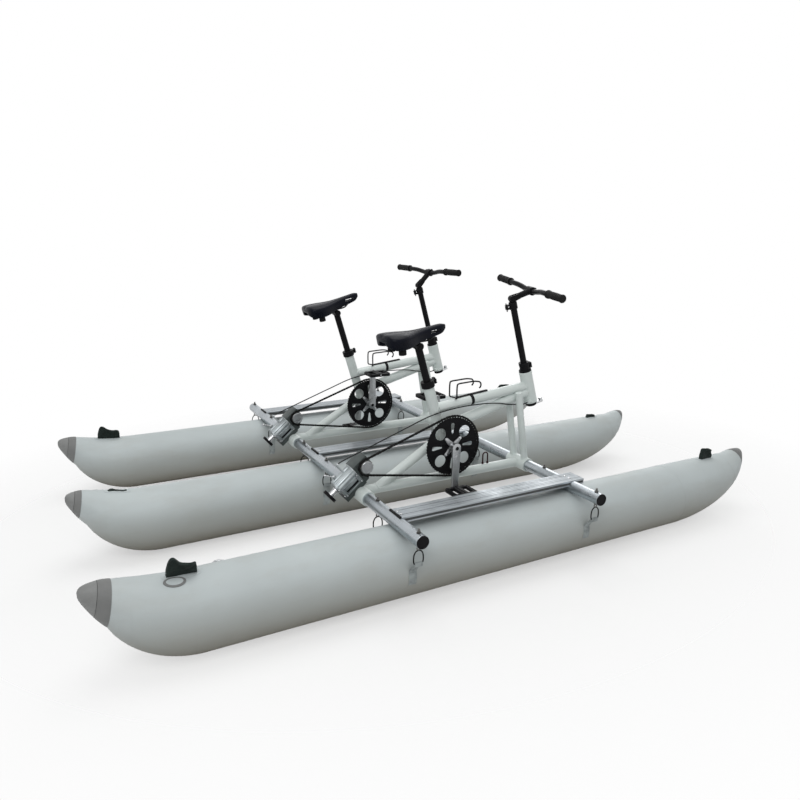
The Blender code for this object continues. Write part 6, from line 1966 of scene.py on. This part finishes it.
# Studio
def floor_material(colour):
    """Pale floor that fades into the white backdrop away from the object, sooner for the camera alone."""
    material = bpy.data.materials.new("studio_floor")
    material.use_nodes = True
    tree = material.node_tree
    shader = tree.nodes["Principled BSDF"]
    shader.inputs["Base Color"].default_value = (*colour, 1.0)
    shader.inputs["Roughness"].default_value = 0.9
    shader.inputs["Specular IOR Level"].default_value = 0.1
    reach = tree.nodes.new("ShaderNodeVectorMath")
    reach.operation = "LENGTH"
    tree.links.new(object_coordinates(tree, (1.0, 1.25, 1.0)), reach.inputs[0])
    rays = tree.nodes.new("ShaderNodeLightPath")
    rim_fade = ranged(tree, reach.outputs["Value"], 0.0, 1.0, 2.7, 3.6)
    seen_fade = ranged(tree, reach.outputs["Value"], 0.5, 1.0, 1.2, 2.7)
    seen = maths(tree, "MULTIPLY", seen_fade, rays.outputs["Is Camera Ray"])
    clear = tree.nodes.new("ShaderNodeBsdfTransparent")
    mix = tree.nodes.new("ShaderNodeMixShader")
    tree.links.new(maths(tree, "MAXIMUM", rim_fade, seen), mix.inputs[0])
    tree.links.new(shader.outputs[0], mix.inputs[1])
    tree.links.new(clear.outputs[0], mix.inputs[2])
    tree.links.new(mix.outputs[0], tree.nodes["Material Output"].inputs["Surface"])
    return material


def soft_light(name, place, target, size, power):
    """A large soft lamp aimed at a point."""
    data = bpy.data.lights.new(name, "AREA")
    data.shape = "DISK"
    data.size = size
    data.energy = power
    lamp = bpy.data.objects.new(name, data)
    lamp.location = place
    lamp.rotation_mode = "QUATERNION"
    lamp.rotation_quaternion = (Vector(target) - Vector(place)).to_track_quat("-Z", "Y")
    bpy.context.scene.collection.objects.link(lamp)


def white_world(scene, ambient):
    """Even light from all round, with a plain white backdrop that metal and glass show too."""
    world = bpy.data.worlds.new("studio")
    scene.world = world
    world.use_nodes = True
    tree = world.node_tree
    background = tree.nodes["Background"]
    background.inputs["Color"].default_value = (1.0, 1.0, 1.0, 1.0)
    rays = tree.nodes.new("ShaderNodeLightPath")
    seen = rays.outputs["Is Camera Ray"]
    for name in ("Is Glossy Ray", "Is Transmission Ray"):
        seen = maths(tree, "MAXIMUM", seen, rays.outputs[name])
    strength = ranged(tree, seen, ambient, 1.0, 0.0, 1.0)
    tree.links.new(strength, background.inputs["Strength"])


class WATERBIKE_OT_studio(bpy.types.Operator):
    """Set up the floor, lamps, world and the camera at the photographed angle"""

    bl_idname = "water_bike.studio"
    bl_label = "Studio"

    def execute(self, context):
        studio = context.scene.water_bike_studio
        build = bmesh.new()
        bmesh.ops.create_grid(build, x_segments=1, y_segments=1, size=FLOOR_HALF)
        floor = bpy.data.objects.new("studio_floor", mesh_from(build))
        floor.data.transform(shift(z=-FLOOR_DROP))
        floor.data.materials.append(floor_material(studio.floor))
        context.scene.collection.objects.link(floor)
        soft_light("key_light", place=(-2.6, -3.4, 4.2), target=(0.0, 0.0, 0.3), size=3.4, power=100.0)
        soft_light("top_light", place=(0.4, 0.6, 5.2), target=(0.0, 0.0, 0.2), size=4.5, power=104.0)
        soft_light("rim_light", place=(3.2, 3.0, 2.6), target=(0.0, 0.0, 0.5), size=2.4, power=35.0)
        white_world(context.scene, AMBIENT)
        data = bpy.data.cameras.new("photo_camera")
        data.sensor_width = 36.0
        data.lens = studio.lens
        data.dof.use_dof = False
        camera = bpy.data.objects.new("photo_camera", data)
        ahead = Vector((math.sin(studio.yaw) * math.cos(studio.pitch),
                        math.cos(studio.yaw) * math.cos(studio.pitch), -math.sin(studio.pitch)))
        right = Vector((math.cos(studio.yaw), -math.sin(studio.yaw), 0.0))
        up = right.cross(ahead)
        rolled_right = right * math.cos(studio.roll) + up * math.sin(studio.roll)
        rolled_up = -right * math.sin(studio.roll) + up * math.cos(studio.roll)
        place = Matrix((rolled_right, rolled_up, -ahead)).transposed().to_4x4()
        camera.matrix_world = Matrix.Translation(CAMERA_PLACE) @ place
        context.scene.collection.objects.link(camera)
        context.scene.camera = camera
        context.scene.view_settings.view_transform = "Standard"
        return {"FINISHED"}


class WATERBIKE_PT_panel(bpy.types.Panel):
    """Sidebar panel with the water bike's sizes, colours and builders"""

    bl_label = "Water bike"
    bl_idname = "WATERBIKE_PT_panel"
    bl_space_type = "VIEW_3D"
    bl_region_type = "UI"
    bl_category = "Water bike"

    def draw(self, context):
        scene = context.scene
        for group in (scene.water_bike_sizes, scene.water_bike_colours, scene.water_bike_studio):
            box = self.layout.box()
            for name in group.__annotations__:
                box.prop(group, name)
        for builder in BUILDERS:
            self.layout.operator(builder.bl_idname)


BUILDERS = (WATERBIKE_OT_finishes, WATERBIKE_OT_studio, WATERBIKE_OT_cables, WATERBIKE_OT_pontoons,
            WATERBIKE_OT_beams, WATERBIKE_OT_planks, WATERBIKE_OT_frames, WATERBIKE_OT_cages,
            WATERBIKE_OT_chains, WATERBIKE_OT_cranks, WATERBIKE_OT_drives, WATERBIKE_OT_steering,
            WATERBIKE_OT_seats)
CLASSES = (WaterBikeColours, WaterBikeSizes, WaterBikeStudio, *BUILDERS, WATERBIKE_PT_panel)


def register():
    """Make the sizes, colours, builders and panel known to Blender."""
    for kind in CLASSES:
        bpy.utils.register_class(kind)
    bpy.types.Scene.water_bike_colours = bpy.props.PointerProperty(type=WaterBikeColours)
    bpy.types.Scene.water_bike_sizes = bpy.props.PointerProperty(type=WaterBikeSizes)
    bpy.types.Scene.water_bike_studio = bpy.props.PointerProperty(type=WaterBikeStudio)


def unregister():
    """Take them away again."""
    del bpy.types.Scene.water_bike_studio
    del bpy.types.Scene.water_bike_sizes
    del bpy.types.Scene.water_bike_colours
    for kind in reversed(CLASSES):
        bpy.utils.unregister_class(kind)


def main():
    register()
    bpy.ops.water_bike.finishes()
    bpy.ops.water_bike.studio()
    bpy.ops.water_bike.cables()
    bpy.ops.water_bike.pontoons()
    bpy.ops.water_bike.beams()
    bpy.ops.water_bike.planks()
    bpy.ops.water_bike.frames()
    bpy.ops.water_bike.cages()
    bpy.ops.water_bike.chains()
    bpy.ops.water_bike.cranks()
    bpy.ops.water_bike.drives()
    bpy.ops.water_bike.steering()
    bpy.ops.water_bike.seats()


if __name__ == "__main__":
    main()
